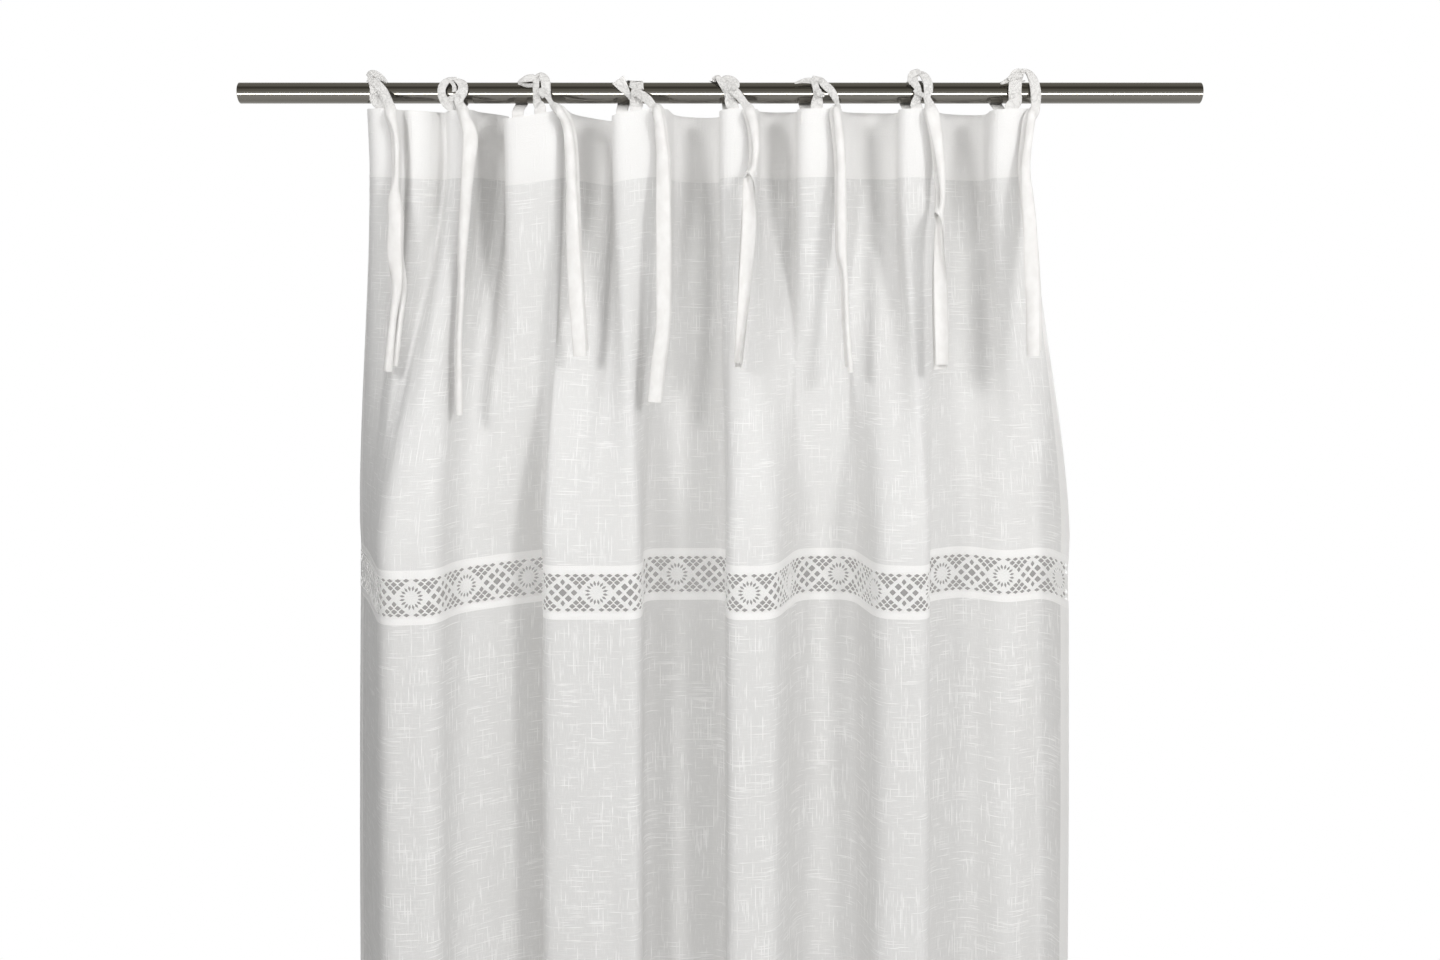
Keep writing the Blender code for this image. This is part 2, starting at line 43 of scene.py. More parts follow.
# a node's output that takes part in plain Python expressions
class Sock:
    def __init__(self, graph, socket):
        self.graph = graph
        self.socket = socket

    def maths(self, operation, *values):
        return self.graph.add("ShaderNodeMath", {"operation": operation}, dict(enumerate(values)))

    def __add__(self, other):
        return self.maths("ADD", self, other)

    def __radd__(self, other):
        return self.maths("ADD", other, self)

    def __sub__(self, other):
        return self.maths("SUBTRACT", self, other)

    def __rsub__(self, other):
        return self.maths("SUBTRACT", other, self)

    def __mul__(self, other):
        return self.maths("MULTIPLY", self, other)

    def __rmul__(self, other):
        return self.maths("MULTIPLY", other, self)

    def __truediv__(self, other):
        return self.maths("DIVIDE", self, other)

    def __lt__(self, other):
        return self.maths("LESS_THAN", self, other)

    def __gt__(self, other):
        return self.maths("GREATER_THAN", self, other)

    def floor(self):
        return self.maths("FLOOR", self)

    def fract(self):
        return self.maths("FRACT", self)

    def sin(self):
        return self.maths("SINE", self)

    def abs(self):
        return self.maths("ABSOLUTE", self)

    def highest(self, other):
        return self.maths("MAXIMUM", self, other)

    def lowest(self, other):
        return self.maths("MINIMUM", self, other)


# a node tree; every node in it comes from add
class Graph:
    def __init__(self, tree):
        self.tree = tree

    def feed(self, slot, value):
        if isinstance(value, list):
            for each in value:
                self.feed(slot, each)
        elif isinstance(value, Sock):
            self.tree.links.new(value.socket, slot)
        else:
            slot.default_value = value

    # settings come first; out is one output, or several by name or number
    def add(self, kind, settings=None, values=None, out=0):
        node = self.tree.nodes.new(kind)
        for key, value in (settings or {}).items():
            setattr(node, key, value)
        for key, value in (values or {}).items():
            self.feed(node.inputs[key], value)
        if isinstance(out, tuple):
            return [Sock(self, node.outputs[each]) for each in out]
        return Sock(self, node.outputs[out]) if len(node.outputs) else None

    def vector(self, x=0.0, y=0.0, z=0.0):
        return self.add("ShaderNodeCombineXYZ", values={"X": x, "Y": y, "Z": z})

    def split(self, vector):
        return self.add("ShaderNodeSeparateXYZ", values={0: vector}, out=(0, 1, 2))

    # 1 for what the camera sees, in steel and through glass too
    def seen(self):
        camera, glossy, through = self.add("ShaderNodeLightPath", out=(
            "Is Camera Ray", "Is Glossy Ray", "Is Transmission Ray"))
        return camera.highest(glossy).highest(through)


# socket names from Python's own kind of names
def spaced(values):
    return {key.replace("_", " "): value for key, value in values.items()}


# one material and its nodes
class Surface(Graph):
    def __init__(self, name):
        self.material = bpy.data.materials.new(name)
        self.material.use_nodes = True
        super().__init__(self.material.node_tree)
        self.shader = self.tree.nodes["Principled BSDF"]

    def set(self, **values):
        for key, value in spaced(values).items():
            self.feed(self.shader.inputs[key], value)

    # takes the place of the material's own shader
    def show(self, shader):
        self.feed(self.tree.nodes["Material Output"].inputs[0], shader)
        return self.material

    def glow(self, colour):
        return self.add("ShaderNodeEmission", values={"Color": colour, "Strength": 1.0})

    def noise(self, vector, scale, detail=2.0):
        return self.add("ShaderNodeTexNoise", {"noise_dimensions": "3D"}, {
            "Vector": vector, "Scale": scale, "Detail": detail, "Roughness": 0.5})

    def step(self, value, low, high, least=0.0, most=1.0):
        return self.add("ShaderNodeMapRange", {"interpolation_type": "SMOOTHSTEP"}, {
            "Value": value, "From Min": low, "From Max": high, "To Min": least, "To Max": most})

    def mix(self, share, first, second):
        return self.add("ShaderNodeMix", {"data_type": "RGBA"}, {
            0: share, 6: first, 7: second}, 2)

    def bump(self, height, distance, strength=1.0):
        self.set(Normal=self.add("ShaderNodeBump", values={
            "Height": height, "Distance": distance, "Strength": strength}))

    # the dull, faintly furry look that the cloth, the lace and the tapes share
    def cotton(self, base, roughness, sheen):
        self.set(Base_Color=base, Roughness=roughness, Sheen_Weight=sheen, Sheen_Roughness=0.6,
                 Specular_IOR_Level=0.2)
        return self.material


def placed(name, mesh, material):
    item = bpy.data.objects.new(name, mesh)
    bpy.context.scene.collection.objects.link(item)
    mesh.materials.clear()
    mesh.materials.append(material)
    return item


def meshFrom(name, points, faces, smooth=True):
    mesh = bpy.data.meshes.new(name)
    mesh.from_pydata(np.asarray(points).tolist(), [], np.asarray(faces).tolist(),
                     shade_flat=not smooth)
    return mesh


# every point's place on the flat cloth or tape, as the mesh's UV map
def flatMap(mesh, name, flat):
    corner = np.array([loop.vertex_index for loop in mesh.loops])
    mesh.uv_layers.new(name=name).data.foreach_set("uv", flat[corner].ravel())


# faces between the rows and columns of a net of points
def netFaces(rows, columns):
    index = np.arange(rows * columns).reshape(rows, columns)
    return np.stack([index[:-1, :-1], index[1:, :-1], index[1:, 1:], index[:-1, 1:]],
                    axis=-1).reshape(-1, 4)


# the flat cloth and how it hangs, in metres
cloth = {
    "flatWidth": 1.500, "flatDrop": 2.500, "headingHeight": 0.081, "sideHem": 0.018,
    "laceDrop": 0.573, "laceHeight": 0.051, "seamHem": 0.010, "bottomHem": 0.080,
    "hangBelowAxis": 0.020, "foldBend": 0.022, "bendSteps": 10, "blendFrom": 0.060,
    "blendTo": 0.536, "hemSpread": 1.108, "tieSpan": (0.032, 1.473),
    "topSags": (0.003, 0.012, 0.012, 0.007, 0.001, 0.002, 0.004), "foldDepths": (0.2, 3.0),
    "crumple": 0.0011, "crumpleEnds": 0.04,
}

# fold plans seen from above, corner by corner: (across, depth), the viewer's side negative
headingFolds = (
    (-0.434, 0.012), (-0.424, -0.032), (-0.392, -0.034), (-0.386, -0.012),
    (-0.374, -0.032), (-0.352, -0.022), (-0.338, 0.012), (-0.328, -0.027),
    (-0.301, -0.027), (-0.302, 0.044), (-0.262, 0.042),
    (-0.262, -0.038), (-0.190, -0.038), (-0.184, 0.046), (-0.130, 0.044),
    (-0.132, -0.036), (-0.066, -0.036), (-0.056, 0.042), (0.002, 0.040),
    (-0.002, -0.034), (0.044, -0.034), (0.050, 0.034), (0.096, 0.032),
    (0.093, -0.035), (0.146, -0.035), (0.152, 0.034), (0.222, 0.034),
    (0.214, -0.034), (0.260, -0.034), (0.274, 0.040), (0.330, 0.038),
    (0.326, -0.034), (0.372, -0.034), (0.381, 0.006),
)
laceFolds = (
    (-0.486, 0.071), (-0.465, 0.032), (-0.424, -0.065), (-0.354, -0.060),
    (-0.339, -0.017), (-0.279, 0.015), (-0.222, 0.041), (-0.228, -0.041),
    (-0.098, -0.041), (-0.102, 0.039), (0.011, 0.041), (0.006, -0.043),
    (0.070, -0.041), (0.104, 0.041), (0.175, 0.041), (0.200, -0.039),
    (0.267, -0.043), (0.271, 0.032), (0.326, 0.054), (0.375, 0.026),
    (0.435, 0.048), (0.452, 0.002),
)


# corners swapped for short bends
def rounded(corners):
    points = [corners[0]]
    for before, corner, after in zip(corners, corners[1:], corners[2:]):
        ends = []
        for other in (before, after):
            share = min(cloth["foldBend"] / math.dist(corner, other), 0.5)
            ends.append((corner[0] + (other[0] - corner[0]) * share,
                         corner[1] + (other[1] - corner[1]) * share))
        for n in range(cloth["bendSteps"] + 1):
            t = n / cloth["bendSteps"]
            points.append(tuple((1 - t) ** 2 * p + 2 * t * (1 - t) * q + t ** 2 * r
                                for p, q, r in zip(ends[0], corner, ends[1])))
    points.append(corners[-1])
    return np.array(points)


def runningLength(points):
    return np.concatenate([[0.0], np.cumsum(np.linalg.norm(np.diff(points, axis=0), axis=1))])


# folds deepen until they take up the whole flat width
def foldPlan(corners):
    soft = rounded(corners)
    low, high = cloth["foldDepths"]
    for _ in range(40):  # halvings, down to rounding
        depth = 0.5 * (low + high)
        plan = soft * (1.0, depth)
        if runningLength(plan)[-1] < cloth["flatWidth"]:
            low = depth
        else:
            high = depth
    return plan, runningLength(plan)


headingPlan = foldPlan(headingFolds)
lacePlan = foldPlan(laceFolds)
hemPlan = foldPlan([(x * cloth["hemSpread"], y) for x, y in laceFolds])


# places of the flat cloth on a plan of folds
def along(plan, across):
    points, lengths = plan
    wanted = np.clip(across / cloth["flatWidth"], 0.0, 1.0) * lengths[-1]
    return np.stack([np.interp(wanted, lengths, points[:, 0]),
                     np.interp(wanted, lengths, points[:, 1])], axis=-1)


# the top edge sags between its ties
def topSag(across, drop):
    first, last = cloth["tieSpan"]
    sags = np.array(cloth["topSags"] + (0.0,))
    place = np.clip((across - first) / (last - first) * (len(sags) - 1), 0.0, len(sags) - 1)
    swag = np.floor(place).astype(int)
    fade = np.clip(1.0 - drop / cloth["laceDrop"], 0.0, 1.0)
    return sags[swag] * np.sin(np.pi * (place - swag)) ** 2 * fade


# small extra forms in the cloth: ridges from one place of the flat cloth to another
# (across, drop) to (across, drop), half width, height towards the viewer
wrinkles = (
    ((0.092, 0.02), (0.120, 0.50), 0.012, 0.0030),
    ((0.150, 0.03), (0.170, 0.40), 0.010, -0.0030),
    ((0.330, 0.04), (0.300, 0.46), 0.014, 0.0035),
    ((0.400, 0.08), (0.390, 0.50), 0.012, -0.0030),
    ((0.560, 0.05), (0.520, 0.52), 0.013, 0.0040),
    ((0.640, 0.06), (0.620, 0.44), 0.011, -0.0030),
    ((0.790, 0.05), (0.740, 0.50), 0.014, 0.0040),
    ((0.860, 0.09), (0.850, 0.52), 0.012, -0.0030),
    ((0.960, 0.04), (0.930, 0.36), 0.012, 0.0030),
    ((1.060, 0.06), (1.080, 0.48), 0.013, -0.0035),
    ((1.120, 0.12), (1.190, 0.17), 0.010, 0.0040),
    ((1.130, 0.15), (1.210, 0.21), 0.010, -0.0030),
    ((1.250, 0.05), (1.240, 0.46), 0.012, 0.0030),
    ((1.380, 0.07), (1.400, 0.50), 0.014, -0.0030),
    ((0.090, 0.70), (0.080, 2.30), 0.020, 0.0030),
    ((0.240, 0.66), (0.250, 2.40), 0.022, -0.0030),
    ((0.380, 0.70), (0.390, 2.20), 0.024, 0.0035),
    ((0.560, 0.68), (0.540, 2.40), 0.022, -0.0030),
    ((0.700, 0.66), (0.720, 2.10), 0.020, 0.0035),
    ((0.900, 0.66), (0.880, 2.40), 0.022, -0.0030),
    ((1.060, 0.70), (1.050, 2.30), 0.022, 0.0035),
    ((1.220, 0.66), (1.260, 2.40), 0.024, -0.0035),
    ((1.400, 0.70), (1.390, 2.30), 0.022, 0.0030),
)


def wrinkleHeight(across, drop):
    total = np.zeros(np.shape(across))
    for (a0, d0), (a1, d1), width, height in wrinkles:
        share = np.clip((drop - d0) / (d1 - d0), 0.0, 1.0)
        ends = np.sin(np.pi * share) ** 0.7
        off = (across - (a0 + (a1 - a0) * share)) / width
        total += height * ends * np.exp(-off * off)
    return total


# where points of the flat cloth lie when the curtain hangs
def drape(across, drop):
    across, drop = np.asarray(across, float), np.asarray(drop, float)
    top = along(headingPlan, across)
    low = along(lacePlan, across)
    hem = along(hemPlan, across)
    t = np.clip((drop - cloth["blendFrom"]) / (cloth["blendTo"] - cloth["blendFrom"]), 0.0, 1.0)
    share = (0.5 * t + 0.5 * t * t * (3.0 - 2.0 * t))[..., None]
    plan = top + (low - top) * share
    left = np.clip((cloth["flatDrop"] - drop) / (cloth["flatDrop"] - cloth["laceDrop"]), 0.0, 1.0)
    plan = plan + (hem - plan) * (1.0 - left * left)[..., None]
    forward = wrinkleHeight(across, drop)
    z = -cloth["hangBelowAxis"] - drop - topSag(across, drop)
    return np.stack([plan[..., 0], plan[..., 1] - forward, z], axis=-1)


# drawn steel tube with faint lines along it
rod = {
    "length": 1.171, "diameter": 0.025, "wall": 0.0012, "sides": 96, "bevel": 0.0003,
    "steel": (0.170, 0.161, 0.142, 1.0), "pale": (0.205, 0.195, 0.175, 1.0),
    "dark": (0.14, 0.132, 0.115, 1.0), "lines": 1400.0, "streaks": 60.0,
    "roughness": (0.12, 0.14), "lineDepth": 0.000002,
}


def steelMaterial():
    surface = Surface("brushedSteel")
    x, y, z = surface.split(surface.add("ShaderNodeTexCoord", out="Object"))
    lines, streaks = rod["lines"], rod["streaks"]
    grain = surface.noise(surface.vector(x * 1.5, y * lines, z * lines), 1.0)
    broad = surface.noise(surface.vector(x * 3.0, y * streaks, z * streaks), 1.0)
    base = surface.mix(surface.step(grain, 0.3, 0.7), rod["steel"], rod["pale"])
    base = surface.mix(surface.step(broad, 0.35, 0.65, 0.0, 0.3), base, rod["dark"])
    surface.bump(grain, rod["lineDepth"], 0.1)
    surface.set(Base_Color=base, Metallic=1.0,
                Roughness=surface.step(grain, 0.3, 0.7, *rod["roughness"]))
    return surface.material


# the same tube as the solid, round instead of faceted
def rodMesh():
    half, outer = 0.5 * rod["length"], 0.5 * rod["diameter"]
    inner, bevel = outer - rod["wall"], rod["bevel"]
    profile = ((-half + bevel, outer), (half - bevel, outer), (half, outer - bevel),
               (half, inner), (-half, inner), (-half, outer - bevel))
    turns = np.arange(rod["sides"]) * 2.0 * np.pi / rod["sides"]
    verts = np.concatenate([
        np.stack([np.full(turns.shape, x), radius * np.cos(turns), radius * np.sin(turns)], axis=-1)
        for x, radius in profile])
    rings, sides = len(profile), rod["sides"]
    faces = [(ring * sides + n, ring * sides + (n + 1) % sides,
              (ring + 1) % rings * sides + (n + 1) % sides, (ring + 1) % rings * sides + n)
             for ring in range(rings) for n in range(sides)]
    mesh = meshFrom("curtainRod", verts, faces)
    for line in mesh.edges:
        first, second = line.vertices
        line.use_edge_sharp = first // sides == second // sides
    return mesh


curtainRod = placed("curtainRod", rodMesh(), steelMaterial())
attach(curtainRod, "root")
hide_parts("curtain_rod")
print("rod done")


# a stretch of cloth between the first and last of the rows
def clothMesh(name, columns, rows, layer=0.0):
    across, drop = np.meshgrid(columns, rows)
    points = drape(across, drop)
    crumple = np.array([noise.noise(Vector((a * 16.0, d * 7.0, 3.0)))
                        + 0.5 * noise.noise(Vector((a * 38.0, d * 26.0, 9.0)))
                        for a, d in zip(across.ravel(), drop.ravel())]).reshape(across.shape)
    edge = np.clip(np.minimum(drop - rows[0], rows[-1] - drop) / cloth["crumpleEnds"], 0.0, 1.0)
    points[..., 1] += crumple * cloth["crumple"] * edge + layer
    mesh = meshFrom(name, points.reshape(-1, 3), netFaces(*across.shape))
    flatMap(mesh, "flatCloth", np.stack([across.ravel(), drop.ravel()], axis=-1))
    return mesh


def shellOf(item, thickness, offset=-1.0):
    shell = item.modifiers.new("clothThickness", "SOLIDIFY")
    shell.thickness = thickness
    shell.offset = offset


# keeps the shading flat up to the edges of a shell
def evenShading(item):
    item.modifiers.new("evenShading", "WEIGHTED_NORMAL").weight = 100


# slub yarns along one direction of the weave
def slubs(surface, lengthways, sideways, size, seed):
    pitch, run, least, most = size
    wander = surface.noise(surface.vector(lengthways * 9.0, sideways * 30.0, seed + 5.0), 1.0, 1.0)
    cell = sideways / pitch + wander * 0.6
    place = surface.vector(cell.floor() * 5.37, lengthways / run, seed)
    patch = surface.noise(surface.vector(lengthways * 14.0, sideways * 14.0, seed + 3.0), 1.0)
    strength = surface.noise(place, 1.0) + (patch - 0.5) * 0.30
    core = surface.step((cell.fract() - 0.5).abs(), 0.5, 0.1)
    return surface.step(strength, least, most) * core


# a yarn size is its pitch and run, and the noise between which it fades in
clothLook = {
    # low: the lower panel's single cloth, darker than the upper's as painted shade for light
    # falling off towards the bottom
    "single": (0.71, 0.705, 0.695, 1.0), "low": (0.67, 0.665, 0.655, 1.0),
    "doubled": (0.830, 0.823, 0.812, 1.0), "border": (0.870, 0.863, 0.852, 1.0),
    "slubColour": (0.880, 0.875, 0.865, 1.0), "shade": (0.50, 0.485, 0.47, 1.0),
    "coarse": (0.0019, 0.040, 0.54, 0.72), "fine": (0.0011, 0.016, 0.48, 0.75),
    "coarseShare": 0.88, "fineShare": 0.30, "threadPitch": 0.0011, "mottle": 0.10,
    "foldedEdge": 0.0003, "threadHeight": 0.00022, "sheen": 0.12,
}


# sheer cotton with slubs; hems and heading are two layers and so whiter
def clothMaterial(name, single, doubledRows):
    look, fold = clothLook, clothLook["foldedEdge"]
    surface = Surface(name)
    across, drop, _ = surface.split(surface.add("ShaderNodeUVMap", {"uv_map": "flatCloth"}))
    coarse = slubs(surface, drop, across, look["coarse"], 1.0).highest(
        slubs(surface, across, drop, look["coarse"], 7.0))
    fine = slubs(surface, drop, across, look["fine"], 11.0).highest(
        slubs(surface, across, drop, look["fine"], 17.0))
    slub = coarse * look["coarseShare"] + fine * look["fineShare"]
    fromSide = across.lowest(cloth["flatWidth"] - across)
    doubled = surface.step(fromSide, cloth["sideHem"] + fold, cloth["sideHem"] - fold)
    border = 0.0
    for start, end, whiter in doubledRows:
        inside = surface.step(drop, start - fold, start + fold) * surface.step(
            drop, end + fold, end - fold)
        doubled = doubled.highest(inside)
        border = inside * whiter + border
    cloud = surface.noise(surface.vector(across * 9.0, drop * 4.0, 2.0), 1.0, 3.0)
    grain = surface.noise(surface.vector(across * 900.0, drop * 900.0, 5.0), 1.0, 1.0)
    base = surface.mix(doubled, single, look["doubled"])
    base = surface.mix(border, base, look["border"])
    base = surface.mix(slub * (1.0 - 0.75 * doubled), base, look["slubColour"])
    shade = (surface.step(cloud, 0.3, 0.7, 0.0, look["mottle"])
             + surface.step(grain, 0.3, 0.7, 0.0, look["mottle"]))
    base = surface.mix(shade, base, look["shade"])
    turns = 2.0 * math.pi / look["threadPitch"]
    weave = (across * turns).sin() * (drop * turns).sin()
    surface.bump(weave * 0.3 + slub * 1.2 + grain * 0.6 + doubled * 0.2,
                 look["threadHeight"], 0.8)
    return surface.cotton(base, surface.step(slub, 0.0, 1.0, 0.92, 0.8), look["sheen"])


seam = cloth["laceDrop"]
lowSeam = cloth["laceDrop"] + cloth["laceHeight"]
past = 0.01  # the doubled rows run past the cloth's edge by this much
upperCloth = clothMaterial("upperCloth", clothLook["single"], (
    (-past, cloth["headingHeight"], 0.0), (seam - cloth["seamHem"], seam + past, 1.0)))
# the lower panel takes the darker single cloth: painted shade for light falling off towards the
# bottom
lowerCloth = clothMaterial("lowerCloth", clothLook["low"], (
    (lowSeam - past, lowSeam + cloth["seamHem"], 1.0),
    (cloth["flatDrop"] - cloth["bottomHem"], cloth["flatDrop"] + past, 0.0)))

panels = {"columns": 460, "upperRows": 62, "lowerRows": 64, "thickness": 0.0007}


def clothPanel(name, node, top, bottom, rows, material):
    columns = np.linspace(0.0, cloth["flatWidth"], panels["columns"] + 1)
    mesh = clothMesh(name, columns, np.linspace(top, bottom, rows + 1))
    item = placed(name, mesh, material)
    shellOf(item, panels["thickness"])
    evenShading(item)
    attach(item, "root")
    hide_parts(node)


clothPanel("upperPanel", "upper_panel", 0.0, seam, panels["upperRows"], upperCloth)
print("upper panel done")

# lace band: a flower of radiating slots and a diamond of nine gaps take turns, with a
# triangle of net gaps above and below each place where they meet
lace = {
    "halfRepeats": 35, "slots": 16, "slotFrom": 0.0080, "slotTo": 0.0156, "slotWide": 0.0017,
    "gap": 0.0041, "diamondGap": 0.0050, "gapCorners": 4, "gapWaist": 0.74,
    "thickness": 0.0009, "edge": 0.0042, "overlap": 0.0006, "flower": 0.0085, "raised": 0.0007,
    "slotSquash": (0.97, 1.05), "diamondTips": (0.0139, 0.62, 0.85),
    # a diamond's gaps: across in half repeats, up, size
    "diamond": ((0.0, 0.0, 1.08), (-0.168, -0.0076, 0.95), (-0.168, 0.0076, 0.95),
                (0.168, -0.0076, 0.95), (0.168, 0.0076, 0.95), (-0.335, 0.0, 0.85),
                (0.335, 0.0, 0.85)),
    # rows of net gaps: distance from the border, places, spacing in half repeats, wide, tall
    "netRows": ((0.0030, (-1.5, -0.5, 0.5, 1.5), 0.238, 1.0, 0.62),
                (0.0077, (-1.0, 0.0, 1.0), 0.222, 1.0, 0.85),
                (0.0124, (-0.5, 0.5), 0.215, 1.0, 0.85), (0.0175, (0.0,), 0.2, 0.8, 1.0)),
    "openShare": 0.28, "yarn": (0.85, 0.841, 0.826, 1.0), "pale": (0.93, 0.923, 0.911, 1.0),
    "shade": (0.72, 0.71, 0.69, 1.0), "yarnScale": 700.0, "cloudScale": 60.0,
    "twistPitch": 0.0012, "yarnHeight": 0.0004, "sheen": 0.1,
}


# every gap of one repeat: across, up, its two half sizes and its turn
def laceMarks():
    half = cloth["flatWidth"] / lace["halfRepeats"]
    high = cloth["laceHeight"] / 2
    marks = []
    middle = 0.5 * (lace["slotFrom"] + lace["slotTo"])
    narrower, taller = lace["slotSquash"]
    for n in range(lace["slots"]):
        turn = 2.0 * math.pi * (n + 0.5) / lace["slots"]
        marks.append((0.5 * half + math.cos(turn) * middle * narrower,
                      math.sin(turn) * middle * taller,
                      0.5 * (lace["slotTo"] - lace["slotFrom"]), lace["slotWide"], turn))
    gap = lace["diamondGap"]
    marks += [(1.5 * half + x * half, y, gap * size, gap * size, 0.0)
              for x, y, size in lace["diamond"]]
    tip, wide, tall = lace["diamondTips"]
    marks += [(1.5 * half, y, gap * wide, gap * tall, 0.0) for y in (-tip, tip)]
    for meeting in (0.0, half):
        for inwards, places, spacing, wide, tall in lace["netRows"]:
            for side in (-1, 1):
                marks += [(meeting + place * spacing * half, side * (high - inwards),
                           lace["gap"] * wide, lace["gap"] * tall, 0.0) for place in places]
    return marks


# a geometry tree with named inputs; it ends in Realize Instances and Set Material
class Growth(Graph):
    def __init__(self, name, **inputs):
        super().__init__(bpy.data.node_groups.new(name, "GeometryNodeTree"))
        kinds = {"Geometry": "Geometry", **spaced(inputs), "Material": "Material"}
        sockets = self.tree.interface
        for label, kind in kinds.items():
            sockets.new_socket(label, in_out="INPUT", socket_type="NodeSocket" + kind)
        sockets.new_socket("Geometry", in_out="OUTPUT", socket_type="NodeSocketGeometry")
        self.given = dict(zip(kinds, self.add("NodeGroupInput", out=tuple(kinds))))

    def grow(self, kind, settings=None, **values):
        return self.add(kind, settings, spaced(values))

    def end(self, shape):
        real = self.grow("GeometryNodeRealizeInstances", Geometry=shape)
        self.add("NodeGroupOutput", values={0: self.grow(
            "GeometryNodeSetMaterial", Geometry=real, Material=self.given["Material"])})
        return self.tree


# holes at the marks, row after row of repeats, cut out of one long plate
def laceTree():
    tree = Growth("laceBand", Repeats="Int", Repeat_Length="Float", Band_Width="Float",
                  Band_Height="Float", Edge="Float", Gap_Corners="Int", Gap_Waist="Float")
    given = tree.given
    line = tree.grow("GeometryNodeMeshLine", {"mode": "OFFSET"}, Count=given["Repeats"],
                     Offset=tree.vector(given["Repeat Length"]))
    copies = tree.grow("GeometryNodeInstanceOnPoints", Points=line, Instance=given["Geometry"])
    points = tree.grow("GeometryNodeRealizeInstances", Geometry=copies)
    x = tree.split(tree.add("GeometryNodeInputPosition"))[0]
    outside = (x < given["Edge"]).highest(x > given["Band Width"] - given["Edge"])
    kept = tree.grow("GeometryNodeDeleteGeometry", {"domain": "POINT"}, Geometry=points,
                     Selection=outside)
    stretch, turn = (tree.grow("GeometryNodeInputNamedAttribute", {"data_type": "FLOAT_VECTOR"},
                               Name=label) for label in ("stretch", "turn"))
    hole = tree.grow("GeometryNodeCurveStar", Points=given["Gap Corners"],
                     Inner_Radius=given["Gap Waist"], Outer_Radius=1.0)
    holes = tree.grow("GeometryNodeInstanceOnPoints", Points=kept, Instance=hole,
                      Rotation=tree.add("FunctionNodeEulerToRotation", values={0: turn}),
                      Scale=stretch)
    gaps = tree.grow("GeometryNodeRealizeInstances", Geometry=holes)
    plate = tree.grow("GeometryNodeMeshGrid", Size_X=given["Band Width"],
                      Size_Y=given["Band Height"], Vertices_X=601, Vertices_Y=22)
    neighbours = tree.add("GeometryNodeInputMeshEdgeNeighbors")
    outline = tree.grow("GeometryNodeMeshToCurve", Mesh=plate,
                        Selection=neighbours.maths("COMPARE", neighbours, 1.0, 0.1))
    moved = tree.grow("GeometryNodeTransform", Geometry=outline,
                      Translation=tree.vector(given["Band Width"] * 0.5))
    both = tree.grow("GeometryNodeJoinGeometry", Geometry=[gaps, moved])
    return tree.end(tree.grow("GeometryNodeFillCurve", Curve=both))


# runs a tree on a mesh and gives back the plain result
def grown(name, source, tree, **values):
    item = bpy.data.objects.new(name + "Source", source)
    bpy.context.scene.collection.objects.link(item)
    modifier = item.modifiers.new(name, "NODES")
    modifier.node_group = tree
    sockets = {socket.name: socket.identifier for socket in tree.interface.items_tree
               if socket.in_out == "INPUT"}
    for label, value in spaced(values).items():
        modifier[sockets[label]] = value
    ready = item.evaluated_get(bpy.context.evaluated_depsgraph_get())
    mesh = bpy.data.meshes.new_from_object(ready)
    mesh.name = name
    bpy.data.objects.remove(item)
    return mesh


def laceMaterial():
    surface = Surface("laceCotton")
    across, drop, _ = surface.split(surface.add("ShaderNodeUVMap", {"uv_map": "flatCloth"}))
    scale, coarser = lace["yarnScale"], lace["cloudScale"]
    yarn = surface.noise(surface.vector(across * scale, drop * scale, 1.0), 1.0)
    cloud = surface.noise(surface.vector(across * coarser, drop * coarser, 4.0), 1.0)
    base = surface.mix(surface.step(yarn, 0.35, 0.65), lace["yarn"], lace["pale"])
    base = surface.mix(surface.step(cloud, 0.3, 0.7, 0.0, 0.10), base, lace["shade"])
    turns = 2.0 * math.pi / lace["twistPitch"]
    twist = ((across + drop) * turns).sin() * ((across - drop) * turns).sin()
    surface.bump(yarn * 0.8 + twist * 0.4 + cloud * 0.6, lace["yarnHeight"], 0.9)
    return surface.cotton(base, surface.step(yarn, 0.2, 0.8, 0.85, 0.95), lace["sheen"])


laceCotton = laceMaterial()


def laceBand():
    marks = laceMarks()
    source = meshFrom("laceMarks", [(x, y, 0.0) for x, y, *_ in marks], [])
    for label, values in (("stretch", [(m[2], m[3], 1.0) for m in marks]),
                          ("turn", [(0.0, 0.0, m[4]) for m in marks])):
        source.attributes.new(label, "FLOAT_VECTOR", "POINT").data.foreach_set(
            "vector", np.ravel(values))
    half = cloth["flatWidth"] / lace["halfRepeats"]
    mesh = grown("laceInsertion", source, laceTree(),
                 Repeats=(lace["halfRepeats"] + 3) // 2, Repeat_Length=2.0 * half,
                 Band_Width=cloth["flatWidth"], Band_Height=cloth["laceHeight"] + lace["overlap"],
                 Edge=lace["edge"], Gap_Corners=lace["gapCorners"], Gap_Waist=lace["gapWaist"],
                 Material=laceCotton)
    flat = np.empty(len(mesh.vertices) * 3)
    mesh.vertices.foreach_get("co", flat)
    across, up, _ = flat.reshape(-1, 3).T
    drop = cloth["laceDrop"] + 0.5 * cloth["laceHeight"] - up
    fromFlower = np.hypot(((across / half) % 2.0 - 0.5) * half, up)
    points = drape(across, drop)
    points[:, 1] -= lace["raised"] * np.clip(1.0 - fromFlower / lace["flower"], 0.0, 1.0)
    mesh.vertices.foreach_set("co", points.ravel())
    for layer in list(mesh.uv_layers):
        mesh.uv_layers.remove(layer)
    flatMap(mesh, "flatCloth", np.stack([across, drop], axis=-1))
    mesh.update()
    if sum(polygon.normal.y * polygon.area for polygon in mesh.polygons) > 0.0:
        mesh.flip_normals()
    mesh.shade_flat()
    return placed("laceInsertion", mesh, laceCotton)


